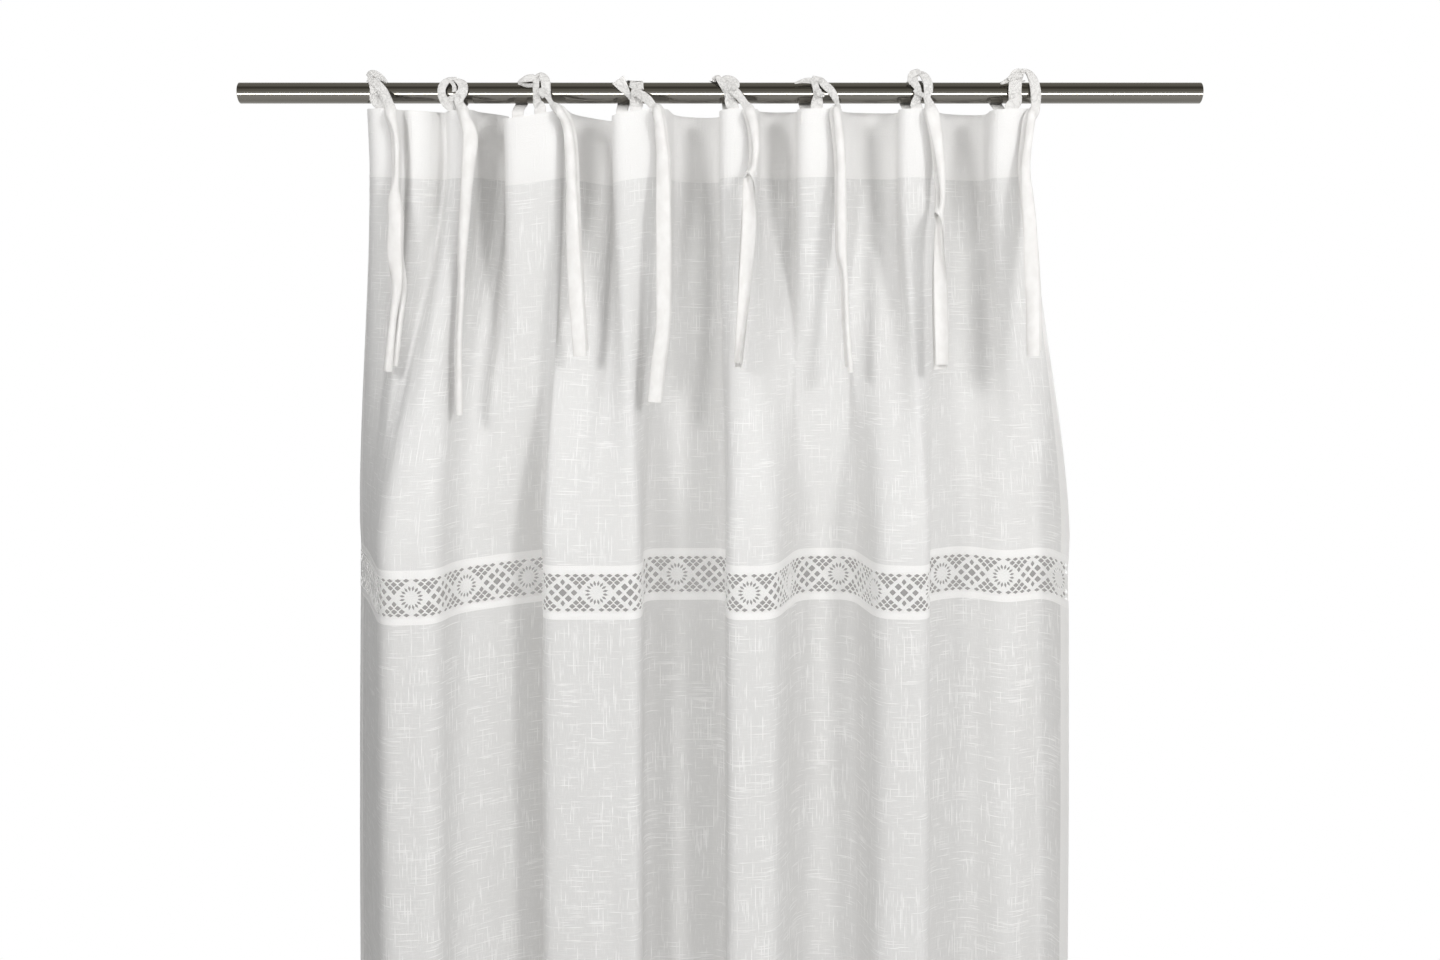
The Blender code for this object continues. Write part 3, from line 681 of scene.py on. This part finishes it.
laceInsertion = laceBand()
shellOf(laceInsertion, lace["thickness"], 0.0)
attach(laceInsertion, "root")
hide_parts("lace_insertion")
print("lace done:", len(laceInsertion.data.polygons), "faces")
clothPanel("lowerPanel", "lower_panel", lowSeam, cloth["flatDrop"], panels["lowerRows"],
           lowerCloth)
print("lower panel done")


# tapes in metres, but for angles and counts, and their cotton
tapes = {
    "rodDiameter": 0.025, "thickness": 0.0007, "gap": 0.0014, "tape": 0.0175, "strand": 0.0150,
    "base": 0.0140, "sewnDepth": 0.018, "backSewnDepth": 0.020, "backTurnDepth": 0.004,
    "behindHeading": 0.0042, "noCloth": -0.035,
    "tailForward": (0.034, 0.044, 0.048, 0.051), "tailClear": 0.0080,
    "tailLayer": 0.0024, "shorter": 0.006, "spread": 0.0026, "lanes": 6, "cup": 0.0003,
    "turnShare": 0.45, "looks": 701, "strandSteps": 48, "tailSteps": 120, "foldSteps": 20,
    "cotton": (0.82, 0.805, 0.785, 1.0), "pale": (0.87, 0.858, 0.84, 1.0),
    "edgeShade": (0.66, 0.645, 0.625, 1.0), "creaseShade": (0.52, 0.51, 0.49, 1.0),
    "edge": (0.0074, 0.0078), "knot": (-0.030, -0.008), "ribPitch": 0.0009,
    "creaseScale": 150.0, "threadHeight": 0.00022, "sheen": 0.12,
}
# the back strand's way round the rod: degrees, and the share of the way from knot to seam
backWrap = ((70, 0.05), (100, 0.2), (135, 0.6), (180, 0.9), (225, 1.0), (262, 1.0))
# ties: where the front and back strands are sewn on, in metres. The rest is in millimetres:
# the way up from the heading into the knot, the way down out of it and the knot's folds as
# (across, depth, height, width, degrees tipped upwards), and the tail as (across, height,
# degrees turned)
ties = (
    {"front": -0.405, "back": -0.411,
     "rise": ((-416.3, -17, -9.5, 13.3, 0), (-416.5, -17, 1, 12.1, 0),
      (-418.7, -14, 9.5, 10.9, 20), (-423.1, -7, 18.4, 9.7, 50)),
     "fall": ((-421.5, -9, 15.8, 7.3, 50), (-413.9, -16, 9.3, 9.7, 20),
      (-405.9, -21, -0.5, 12, 0), (-399.2, -26, -13.7, 12, 0)),
     "tail": ((-390.2, -30.5, 57), (-385.8, -52.5, 70), (-385.8, -95.7, 76), (-389.6, -128.7, 35),
      (-391.7, -157.1, -19), (-393, -194.1, -7), (-393.9, -230.2, -44), (-400.5, -270.2, -66),
      (-410, -335.2, -54)),
     "folds": (((-427.6, -6, 19.1, 6.1, 50), (-422.5, -6, 23.8, 9.7, 50),
      (-413.6, -6, 19.7, 9.7, 50), (-407.8, -6, 15, 6.1, 50), (-404.3, -6, 11.4, 2.4, 50)),
      ((-424.9, -10, 15.7, 6.1, 30), (-417.8, -15, 10.6, 8.5, 20), (-409, -17, 6.9, 6, 20)))},
    {"front": -0.314, "back": -0.316,
     "rise": ((-326.1, -19, -16.7, 12.1, 0), (-333.9, -18, -8.4, 10.9, 0),
      (-336.2, -17, 1, 9.7, 0), (-334.1, -14, 8.9, 9.7, 20), (-328.5, -8, 15.3, 8.5, 50),
      (-319.3, -5, 16.8, 7.3, 60)),
     "fall": ((-320.2, -7, 15.4, 7.3, 60), (-311.7, -14, 9.5, 10.9, 20),
      (-310.6, -18, 1, 12.1, 0), (-314.6, -21, -7.5, 12.1, 0), (-312.9, -25, -16, 10.8, 0)),
     "tail": ((-304, -28.2, 52), (-298.3, -52.5, 19), (-299.9, -82.8, 31), (-302.8, -116.9, 44),
      (-305.7, -150, 49), (-309.6, -194.1, 61), (-312.6, -242.3, 73), (-317.3, -298.3, 73),
      (-319.1, -352.6, 68), (-319.8, -389.9, 66)),
     "folds": (((-327.7, -19, -9.7, 6, 0), (-320.8, -20, -6.8, 8.4, 0),
      (-313.1, -22, -6.4, 7.2, 0)), ((-325.7, -10, 13.4, 4.8, 40), (-321.3, -15, 7.1, 4.8, 10),
      (-320.3, -18, -0.2, 6, 0)))},
    {"front": -0.216, "back": -0.243,
     "rise": ((-220.6, -17, -13, 10.9, 0), (-221.6, -17, -3.6, 8.5, 0), (-222, -17, 5.7, 7.8, 0),
      (-222, -11, 14.5, 7.3, 30), (-220.1, -6, 20.2, 7.3, 60)),
     "fall": ((-222.3, -8, 18.3, 6.1, 50), (-217.4, -8, 21.2, 8.5, 50),
      (-211.6, -12, 14.4, 10.9, 20), (-210, -17, 4.6, 10.9, 0), (-208, -20, -3.9, 8.4, 0),
      (-202.7, -25, -13.7, 6, 0)),
     "tail": ((-192.9, -25.9, -61), (-185, -43.2, -57), (-181.4, -72.3, -47),
      (-180.3, -106.3, -47), (-179.1, -139.3, -32), (-177.6, -186.9, -18), (-174.6, -249.6, 12),
      (-170.9, -316.8, 21)),
     "folds": (((-244.9, -12, 10.9, 1.8, 30), (-238.3, -11, 14.5, 7.3, 30),
      (-230, -10, 16.9, 10.9, 30), (-222.7, -10, 15.7, 8.5, 30)), ((-244.1, -14, 10.1, 1.8, -30),
      (-233.1, -15, 7.7, 4.8, -30), (-223.4, -15, 8.2, 4.8, -30)), ((-215.9, -18, 4.5, 7.2, 0),
      (-213.9, -20, -1.6, 8.4, 0), (-211.8, -19, -6.7, 6, 0)))},
    {"front": -0.101, "back": -0.118,
     "rise": ((-100.9, -18, -15.5, 15.7, 0), (-102.6, -18, -7.3, 13.3, 0),
      (-102, -17, -0.1, 10.9, 0), (-100.3, -15, 4.7, 8.5, 20)),
     "fall": ((-103.2, -18, -0.2, 8.4, 0), (-95.2, -21, -4, 10.8, 0), (-87.2, -24, -9.5, 10.8, 0),
      (-80.5, -28, -17.4, 9.6, 0)),
     "tail": ((-76.6, -25.9, -52), (-72.1, -56, -42), (-69.3, -86.3, -28), (-68.5, -139.3, -9),
      (-68.4, -207.3, 9), (-69.5, -277.6, 19), (-76.1, -332.8, 21), (-80.1, -373.7, 21)),
     "folds": (((-108.7, -18, -8.4, 2.4, 0), (-112.9, -17, -0.1, 8.5, 0),
      (-118.3, -16, 7.6, 13.3, 0), (-123.2, -14, 14.8, 16.9, 0)), ((-109.3, -15, 8.8, 6, 0),
      (-101.5, -15, 7.1, 9.7, 0), (-92.4, -15, 7.7, 9.7, 0)), ((-107.4, -19, -5, 6, 0),
      (-99.9, -22, -2.9, 7.2, 0), (-95.2, -22, -8.7, 4.8, 0)))},
    {"front": 0.016, "back": 0.01,
     "rise": ((12.7, -17, -13, 13.3, 0), (10.9, -17, -3.6, 10.9, 0), (6.6, -16, 4.6, 9.7, 10),
      (1.2, -11, 12.1, 8.5, 30), (-3, -8, 18.3, 7.3, 50), (-6.7, -6, 16.7, 6.1, 50),
      (-6.7, -6, 12.6, 3.6, 50)),
     "fall": ((2.4, -11, 12.1, 7.3, 40), (10.3, -16, 7, 10.9, 20), (18.7, -20, -0.4, 10.8, 0),
      (25.9, -24, -8.9, 9.6, 0), (31.2, -28, -16.2, 9.6, 0)),
     "tail": ((38, -25.9, 47), (42.8, -43.2, 54), (44.7, -67.6, 67), (41.9, -91, 70),
      (36.6, -111, -47), (34.1, -157.1, -13), (31.5, -207.3, -27), (29.2, -255.6, -39),
      (25.2, -330.3, -64)),
     "folds": (((0.6, -11, 11, 6.1, 40), (6.1, -9, 16.4, 8.5, 40), (13.3, -9, 15.8, 9.7, 40),
      (19.3, -14, 10.1, 8.5, 20), (21.1, -16, 4.6, 4.8, 10)), ((4.8, -18, 2.1, 6, 0),
      (12.1, -19, 5.5, 7.2, 0), (19.3, -20, 3.1, 4.8, 0)))},
    {"front": 0.116, "back": 0.104,
     "rise": ((117.3, -17, -13, 14.5, 0), (117.8, -17, -3.6, 10.3, 0), (115.8, -17, 4.6, 8.4, 10),
      (114.3, -11, 13.3, 8.5, 30), (116.4, -7, 19, 7.3, 50)),
     "fall": ((113.7, -11, 14.5, 7.3, 40), (120.4, -11, 15.1, 8.5, 40),
      (126.7, -16, 8.2, 9.7, 20), (133.1, -20, 1.9, 9.6, 0), (138.3, -24, -6.6, 8.4, 0),
      (141.1, -28, -16.2, 6, 0)),
     "tail": ((141.3, -27, 66), (145.1, -56, 54), (147.6, -88.7, 57), (147.6, -122.8, 47),
      (148.5, -157.1, 47), (149.9, -190.5, 53), (153.8, -225.4, 74), (156.4, -277.6, 75),
      (162.1, -336.5, 70)),
     "folds": (((90.1, -12, 10.3, 1.5, 30), (98, -12, 12.6, 4.8, 30), (106.5, -11, 13.9, 7.9, 30),
      (113.7, -12, 12.6, 7.3, 30)), ((109.9, -14, 10.7, 4.8, 10), (116.1, -11, 15.6, 7.3, 40),
      (123.3, -13, 13.1, 6, 30)), ((118.1, -19, 2, 7.2, 0), (120.5, -20, -2.7, 7.2, 0),
      (126, -20, -3.9, 4.8, 0)))},
    {"front": 0.237, "back": 0.228,
     "rise": ((236.4, -17, -14.2, 12.1, 0), (239, -18, -4.9, 9.7, 0), (238.3, -17, 4.6, 8.4, 0),
      (234, -12, 13.2, 10.9, 20), (235.1, -7, 21.9, 12.1, 40), (242.6, -5, 26.2, 9.7, 60)),
     "fall": ((238.8, -6, 24.4, 7.3, 50), (246.5, -8, 20.6, 9.7, 40),
      (250.7, -14, 11.9, 10.9, 20), (251.3, -19, 2, 10.8, 0), (249.3, -22, -6.4, 8.4, 0),
      (251.9, -26, -14.9, 10.8, 0)),
     "tail": ((254.1, -27, 22), (260.5, -52.5, 35), (265.1, -79.3, 54), (267.7, -106.3, 67),
      (268.1, -133.4, 80), (266.2, -157.1, -64), (265.2, -194.1, -46), (265.9, -242.3, -22),
      (270, -332.8, -22)),
     "folds": (((231.3, -15, 8.8, 3.6, 10), (230.3, -12, 14.4, 7.3, 20),
      (233.2, -8, 20.6, 9.7, 40), (240, -6, 24.9, 9.7, 50)), ((234, -18, 2.1, 4.8, 0),
      (239.8, -20, -1.6, 6, 0), (245.7, -22, -5.2, 4.8, 0)))},
    {"front": 0.349, "back": 0.338,
     "rise": ((356.6, -17, -11.9, 15.7, 0), (356.1, -17, -0.1, 15.7, 0),
      (357, -14, 10.7, 15.7, 10), (359.8, -8, 20.6, 15.7, 30), (366.3, -5, 26.8, 10.9, 60)),
     "fall": ((363.9, -5, 26.2, 8.5, 60), (372.8, -6, 24.9, 8.5, 50),
      (378.9, -10, 15.7, 10.9, 30), (380.8, -17, 3.4, 12.1, 10), (380.7, -22, -8.7, 12, 0),
      (379.6, -26, -19.6, 10.8, 0)),
     "tail": ((374.3, -32.8, 57), (371.3, -56, 60), (368.2, -88.7, 52), (369.6, -122.8, 31),
      (373.4, -157.1, 21), (376.4, -207.3, -9), (380.1, -248.4, -19), (383.2, -316.8, -30)),
     "folds": (((339.1, -13, 9.6, 1.8, 20), (344.1, -12, 12, 4.8, 20), (350.6, -12, 15, 7.3, 30)),
      ((348.4, -14, 14.2, 4.8, 10), (355.6, -11, 18.6, 9.7, 30), (365.4, -10, 20.4, 7.3, 30)))},
)


# an even curve through the points
def smoothPath(points, count):
    ends = np.array([points[0]] + list(points) + [points[-1]])
    spans = len(points) - 1
    place = spans * np.arange(count + 1) / count
    span = np.minimum(place.astype(int), spans - 1)
    t = (place - span)[:, None]
    p, q, r, s = ends[span], ends[span + 1], ends[span + 2], ends[span + 3]
    return 0.5 * (2 * q + (r - p) * t + (2 * p - 5 * q + 4 * r - s) * t ** 2
                  + (3 * q - p - 3 * r + s) * t ** 3)


# depths of the cloth at one height, within half a width of one place
def clothDepths(across, halfWidth, drop):
    looks = np.linspace(0.0, cloth["flatWidth"], tapes["looks"])
    places = drape(looks, np.full(looks.shape, drop))
    return places[np.abs(places[:, 0] - across) < halfWidth, 1]


def clothBehind(across, halfWidth, drop):
    depths = clothDepths(across, halfWidth, drop)
    return depths[depths < 0.0].max() if (depths < 0.0).any() else tapes["noCloth"]


def clothFront(across, halfWidth, drop):
    depths = clothDepths(across, halfWidth, drop)
    return depths.min() if depths.size else 0.0


def onRod(angle, radius):
    turn = math.radians(angle)
    return -math.cos(turn) * radius, math.sin(turn) * radius


# measured points in metres, with the way that they face
def tipped(points):
    return [(x / 1000, y / 1000, z / 1000, width / 1000, 0.0, -math.cos(math.radians(tip)),
             math.sin(math.radians(tip))) for x, y, z, width, tip in points]


def frontStrand(tie):
    base = clothBehind(tie["front"], 0.5 * tapes["base"] + tapes["gap"],
                       0.0) + tapes["behindHeading"]
    top = -cloth["hangBelowAxis"]
    sewn = [(tie["front"], base, top - depth, tapes["base"], 0.0, -1.0, 0.0)
            for depth in (tapes["sewnDepth"], 0.0)]
    return sewn + tipped(tie["rise"]), base


def backStrand(tie, base):
    reach = 0.5 * tapes["rodDiameter"] + 0.5 * tapes["thickness"] + tapes["gap"]
    back, knot = tie["back"], tie["rise"][-1][0] / 1000
    points = []
    for angle, share in backWrap:
        y, z = onRod(angle, reach)
        points.append((knot + (back - knot) * share, y, z, tapes["strand"], 0.0, y, z))
    behind = base + tapes["thickness"] + tapes["gap"]
    top = -cloth["hangBelowAxis"]
    points.append((back, behind, top - tapes["backTurnDepth"], tapes["base"], 0.0, 0.5, -0.9))
    points.append((back, behind, top - tapes["backSewnDepth"], tapes["base"], 0.0, 1.0, 0.0))
    return points


# how far a tape has to curl in, in radians, to look this share of its width
curls = np.linspace(3.0, 0.01, 300)
curlShares = np.where(curls > 0.5 * np.pi, 1.0, np.sin(np.minimum(curls, 0.5 * np.pi))) / curls


# the tail, or the second length of tape that hangs right behind it; what looks narrow in
# the photograph is partly turned and partly curled in
def tailPoints(tie, second):
    layer = tapes["tailLayer"] if second else 0.0
    points = [(x, y + layer, z, width, *facing) for x, y, z, width, *facing in tipped(tie["fall"])]
    turned = 0.0
    for n, (across, height, turn) in enumerate(tie["tail"]):
        turned = turn + 180.0 * round((turned - turn) / 180.0)
        faceOn = 180.0 * round(turned / 180.0)
        kept = (turned - faceOn) * tapes["turnShare"]
        share = math.cos(math.radians(turned - faceOn)) / math.cos(math.radians(kept))
        curl = float(np.interp(share, curlShares, curls))
        roll = 0.5 * tapes["tape"] * (1.0 - math.cos(curl)) / curl
        across, height, angle = across / 1000, height / 1000, math.radians(faceOn + kept)
        faceX, faceY = math.sin(angle), -math.cos(angle)
        lean = 0.5 * tapes["tape"] * abs(math.sin(angle)) * share + roll
        front = clothFront(across, 0.5 * tapes["tape"], -height - cloth["hangBelowAxis"])
        forward = max(tapes["tailClear"] + lean - front, tapes["tailForward"][min(n, 3)])
        lift = tapes["shorter"] if second and n == len(tie["tail"]) - 1 else 0.0
        aside = tapes["spread"] * n / len(tie["tail"]) if second else 0.0
        back = layer + roll if second else 0.0
        points.append((across - faceX * back + aside, -forward - faceY * back, height + lift,
                       tapes["tape"], faceX, faceY, 0.0, curl))
    return points


# one length of tape as vertices, faces and its own flat coordinates
def tapeStrip(points, count):
    path = smoothPath([(*p[:4], *Vector(p[4:7]).normalized(), p[7] if len(p) > 7 else 0.0)
                       for p in points], count)
    centres = path[:, :3]
    ahead = np.gradient(centres, axis=0)
    facing = path[:, 4:7]
    sides = np.cross(ahead, facing)
    sides /= np.linalg.norm(sides, axis=1)[:, None]
    outwards = np.cross(sides, ahead)
    outwards /= np.linalg.norm(outwards, axis=1)[:, None]
    lanes = np.linspace(-1.0, 1.0, tapes["lanes"] + 1)
    length = np.concatenate([[0.0], np.cumsum(np.linalg.norm(np.diff(centres, axis=0), axis=1))])
    rows, flat = [], []
    curl = np.maximum(path[:, 7:8], 0.01)
    radius = 0.5 * path[:, 3:4] / curl
    for lane in lanes:
        rise = tapes["cup"] * (1.0 - lane * lane) - radius * (1.0 - np.cos(curl * lane))
        rows.append(centres + sides * radius * np.sin(curl * lane) + outwards * rise)
        flat.append(np.stack([np.full(count + 1, lane * 0.5 * tapes["tape"]), length], axis=-1))
    verts = np.concatenate(rows)
    flat = np.concatenate(flat)
    faces = netFaces(len(lanes), count + 1)[:, [0, 3, 2, 1]]
    return verts, faces, flat


def tapeMaterial():
    surface = Surface("tapeCotton")
    across, length, _ = surface.split(surface.add("ShaderNodeUVMap", {"uv_map": "flatTape"}))
    cloud = surface.noise(surface.vector(across * 90.0, length * 60.0, 1.0), 1.0)
    fine = surface.noise(surface.vector(across * 1500.0, length * 1500.0, 5.0), 1.0, 1.0)
    rib = ((across.abs() + length) * (2.0 * math.pi / tapes["ribPitch"])).sin()
    edge = surface.step(across.abs(), *tapes["edge"])
    base = surface.mix(surface.step(cloud, 0.3, 0.7), tapes["cotton"], tapes["pale"])
    base = surface.mix(edge * 0.35, base, tapes["edgeShade"])
    place = surface.add("ShaderNodeTexCoord", out="Object")
    knotted = surface.step(surface.split(place)[2], *tapes["knot"])
    crease = (surface.noise(place, tapes["creaseScale"]) - 0.5).abs()
    base = surface.mix(knotted * surface.step(crease, 0.06, 0.0, 0.18, 0.62), base,
                       tapes["creaseShade"])
    surface.bump(rib * 0.5 + fine * 0.6 - edge * 0.6 + cloud * 1.5
                 + knotted * surface.step(crease, 0.0, 0.14) * 5.0, tapes["threadHeight"], 0.8)
    return surface.cotton(base, surface.step(fine, 0.3, 0.7, 0.82, 0.95), tapes["sheen"])


def tieMesh(name, tie):
    rise, base = frontStrand(tie)
    strips = [tapeStrip(strand, tapes["strandSteps"]) for strand in (rise, backStrand(tie, base))]
    strips += [tapeStrip(tailPoints(tie, second), tapes["tailSteps"]) for second in (False, True)]
    strips += [tapeStrip(tipped(fold), tapes["foldSteps"]) for fold in tie["folds"]]
    starts = np.cumsum([0] + [len(verts) for verts, _, _ in strips])
    mesh = meshFrom(name, np.concatenate([verts for verts, _, _ in strips]),
                    np.concatenate([strip[1] + start for strip, start in zip(strips, starts)]))
    flatMap(mesh, "flatTape", np.concatenate([flat for _, _, flat in strips]))
    return mesh, sum(flat[:, 1].max() for _, _, flat in strips)


tapeCotton = tapeMaterial()
for number, tie in enumerate(ties, 1):
    mesh, length = tieMesh("tapeTie%d" % number, tie)
    piece = placed(mesh.name, mesh, tapeCotton)
    shellOf(piece, tapes["thickness"], 0.0)
    evenShading(piece)
    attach(piece, "root")
    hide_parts("tie_%d" % number)
print("ties done")

# stitch lines: a bar of thread for every stitch along a line of the flat cloth
stitches = {
    "length": 0.0024, "pitch": 0.0034, "radius": 0.00034, "proud": 0.0003, "inset": 0.0022,
    "ends": 0.004, "thread": (0.76, 0.748, 0.73, 1.0), "pale": (0.86, 0.848, 0.83, 1.0),
}


def stitchTree():
    tree = Growth("stitchLine", Pitch="Float", Length="Float", Radius="Float")
    given = tree.given
    points, turned = tree.add("GeometryNodeCurveToPoints", {"mode": "LENGTH"}, {
        "Curve": tree.grow("GeometryNodeMeshToCurve", Mesh=given["Geometry"]),
        "Length": given["Pitch"]}, ("Points", "Rotation"))
    ball = tree.grow("GeometryNodeMeshUVSphere", Segments=6, Rings=4, Radius=1.0)
    bar = tree.grow("GeometryNodeTransform", Geometry=ball, Scale=tree.vector(
        given["Radius"], given["Radius"], given["Length"] * 0.5))
    return tree.end(tree.grow("GeometryNodeInstanceOnPoints", Points=points, Instance=bar,
                              Rotation=turned))


def threadMaterial():
    surface = Surface("threadCotton")
    cloud = surface.noise(surface.add("ShaderNodeTexCoord", out="Object"), 400.0)
    shade = surface.step(cloud, 0.3, 0.7)
    surface.bump(cloud, 0.0001, 0.5)
    surface.set(Base_Color=surface.mix(shade, stitches["thread"], stitches["pale"]),
                Roughness=surface.step(cloud, 0.3, 0.7, 0.7, 0.85))
    return surface.material


threadCotton = threadMaterial()


def stitchPiece(name, lines):
    places, edges = [], []
    for across, drop in lines:
        points = drape(across, drop)
        points[:, 1] -= stitches["proud"]
        start = len(places)
        places += points.tolist()
        edges += [(start + n, start + n + 1) for n in range(len(points) - 1)]
    source = bpy.data.meshes.new(name + "Lines")
    source.from_pydata(places, edges, [])
    mesh = grown(name, source, stitchTree(), Pitch=stitches["pitch"], Length=stitches["length"],
                 Radius=stitches["radius"], Material=threadCotton)
    piece = placed(name, mesh, threadCotton)
    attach(piece, "root")
    return len(mesh.polygons)


def levelLine(drop):
    across = np.linspace(stitches["ends"], cloth["flatWidth"] - stitches["ends"], 900)
    return across, np.full(across.shape, drop)


def uprightLine(across, top, bottom):
    drop = np.linspace(top, bottom, 120)
    return np.full(drop.shape, across), drop


def panelLines(top, upperSeam, lowerSeam, bottom):
    inset = cloth["sideHem"] - stitches["inset"]
    return [levelLine(top), levelLine(bottom),
            *(uprightLine(side, upperSeam, lowerSeam)
              for side in (inset, cloth["flatWidth"] - inset))]


inset = stitches["inset"]
heading, laceHem = cloth["headingHeight"], seam - cloth["seamHem"]
upperCount = stitchPiece("upperStitches", panelLines(
    heading - inset, heading, laceHem, laceHem + inset))
laceHem, bottomHem = lowSeam + cloth["seamHem"], cloth["flatDrop"] - cloth["bottomHem"]
lowerCount = stitchPiece("lowerStitches", panelLines(
    laceHem - inset, laceHem, bottomHem, bottomHem + inset))
print("stitches done:", upperCount, lowerCount, "faces")

# lamps by name: place, aim, size, watts
lamps = {
    "leftSoftbox": ((-1.5, -2.4, 0.8), (0.0, 0.0, -0.1), (0.5, 0.65), 27.0),
    "rightSoftbox": ((1.75, -2.3, 0.8), (0.0, 0.0, -0.1), (0.5, 0.65), 31.0),
    "frontStrip": ((0.0, -1.70, -0.42), (0.0, 0.0, 0.0), (3.2, 0.20), 44.0),
}
for name, (place, aim, size, watts) in lamps.items():
    lamp = bpy.data.lights.new(name, "AREA")
    lamp.shape = "RECTANGLE"
    lamp.size, lamp.size_y = size
    lamp.energy = watts
    item = bpy.data.objects.new(name, lamp)
    item.location = place
    item.rotation_euler = (Vector(aim) - Vector(place)).to_track_quat("-Z", "Y").to_euler()
    item.visible_camera = False
    # the strip beside the camera shows only in the steel, the softboxes only on the cloth
    if name == "frontStrip":
        item.visible_diffuse = False
    else:
        item.visible_glossy = False
    bpy.context.scene.collection.objects.link(item)

studio = {
    "dim": 0.78, "white": (1.0, 1.0, 1.0, 1.0), "floor": (0.88, 0.88, 0.875, 1.0),
    "floorLevel": -2.56, "floorHalf": 6.0, "floorFade": (1.0, 2.1),
    "wallShade": (0.36, 0.352, 0.34, 1.0), "ceiling": (0.50, 0.49, 0.45, 1.0),
    "darkCeiling": (0.20, 0.19, 0.17, 1.0), "card": (0.02, 0.02, 0.02, 1.0),
}

# an evenly dim room that the camera sees white
world = bpy.data.worlds.new("studio")
bpy.context.scene.world = world
world.use_nodes = True
world.node_tree.nodes.clear()
room = Graph(world.node_tree)
dim, white = (room.add("ShaderNodeBackground", values={
    "Color": studio["white"], "Strength": strength}) for strength in (studio["dim"], 1.0))
room.add("ShaderNodeOutputWorld", values={0: room.add("ShaderNodeMixShader", values={
    0: room.seen(), 1: dim, 2: white})})


# pale near the curtain, with its shadow, and white to the camera further out
def floorMaterial():
    surface = Surface("paleFloor")
    length = surface.add("ShaderNodeVectorMath", {"operation": "LENGTH"}, {
        0: surface.add("ShaderNodeTexCoord", out="Object")}, "Value")
    far = surface.step(length, *studio["floorFade"])
    surface.set(Base_Color=studio["floor"], Roughness=0.9, Specular_IOR_Level=0.1)
    return surface.show(surface.add("ShaderNodeMixShader", values={
        0: far * surface.seen(), 1: Sock(surface, surface.shader.outputs[0]),
        2: surface.glow(studio["white"])}))


# painted shade: a glowing grey strip that stands for a shaded wall as it shows through the lace,
# clear from behind
def shadeMaterial():
    surface = Surface("wallShade")
    back = surface.add("ShaderNodeNewGeometry", out="Backfacing")
    return surface.show(surface.add("ShaderNodeMixShader", values={
        0: (1.0 - back) * surface.seen(), 1: surface.add("ShaderNodeBsdfTransparent"),
        2: surface.glow(studio["wallShade"])}))


# the dim ceiling that the upper side of the steel mirrors, darkest in front of the rod
def ceilingMaterial():
    surface = Surface("dimCeiling")
    y = surface.split(surface.add("ShaderNodeTexCoord", out="Object"))[1]
    dark = surface.step(y, -1.35, -0.85) * surface.step(y, -0.12, -0.45)
    return surface.show(surface.glow(surface.mix(dark, studio["ceiling"], studio["darkCeiling"])))


# a dark card out of the picture keeps light off the side that faces left
def cardMaterial():
    surface = Surface("darkCard")
    surface.set(Base_Color=studio["card"], Roughness=0.9)
    return surface.material


def backdrop(name, mesh, material, unseen):
    item = placed(name, mesh, material)
    for ray in unseen:
        setattr(item, "visible_" + ray, False)
    return item


# one flat four-sided piece of the studio
def sheetMesh(name, *corners):
    return meshFrom(name, corners, [(0, 1, 2, 3)], smooth=False)


half = studio["floorHalf"]
floor = backdrop("floor", sheetMesh("floor", (-half, -half, 0.0), (half, -half, 0.0),
                                    (half, half, 0.0), (-half, half, 0.0)), floorMaterial(), ())
floor.location = (0.0, 0.0, studio["floorLevel"])

# the painted shade strip follows the lace a little behind it
shade = {"columns": 480, "rows": 2, "behind": 0.006, "below": 0.004, "ends": 0.004}
backdrop("wallShade", clothMesh(
    "wallShade",
    np.linspace(shade["ends"], cloth["flatWidth"] - shade["ends"], shade["columns"] + 1),
    np.linspace(seam, lowSeam + shade["below"], shade["rows"] + 1), shade["behind"]),
    shadeMaterial(), ("diffuse", "shadow"))
backdrop("ceiling", sheetMesh("ceiling", (-6.0, -5.0, 1.0), (-6.0, 3.0, 1.0), (6.0, 3.0, 1.0),
                              (6.0, -5.0, 1.0)),
         ceilingMaterial(), ("camera", "diffuse", "shadow", "transmission"))
backdrop("sideCard", sheetMesh("sideCard", (-1.0, -0.7, -1.5), (-1.0, 0.5, -1.5),
                               (-1.0, 0.5, 0.1), (-1.0, -0.7, 0.1)),
         cardMaterial(), ("camera", "glossy"))
print("studio done")

scene = bpy.context.scene
scene.view_settings.view_transform = "Standard"
camera = bpy.data.cameras.new("camera")
camera.lens = 32.775
camera.sensor_width = 36.0
camera.shift_y = -43.0 / 1440.0
camera.clip_start = 0.02
camera.clip_end = 30.0
cameraObject = bpy.data.objects.new("camera", camera)
cameraObject.location = (0.0, -1.6476, -0.1406)
cameraObject.rotation_euler = (math.radians(80.18), 0.0, 0.0)
scene.collection.objects.link(cameraObject)
scene.camera = cameraObject
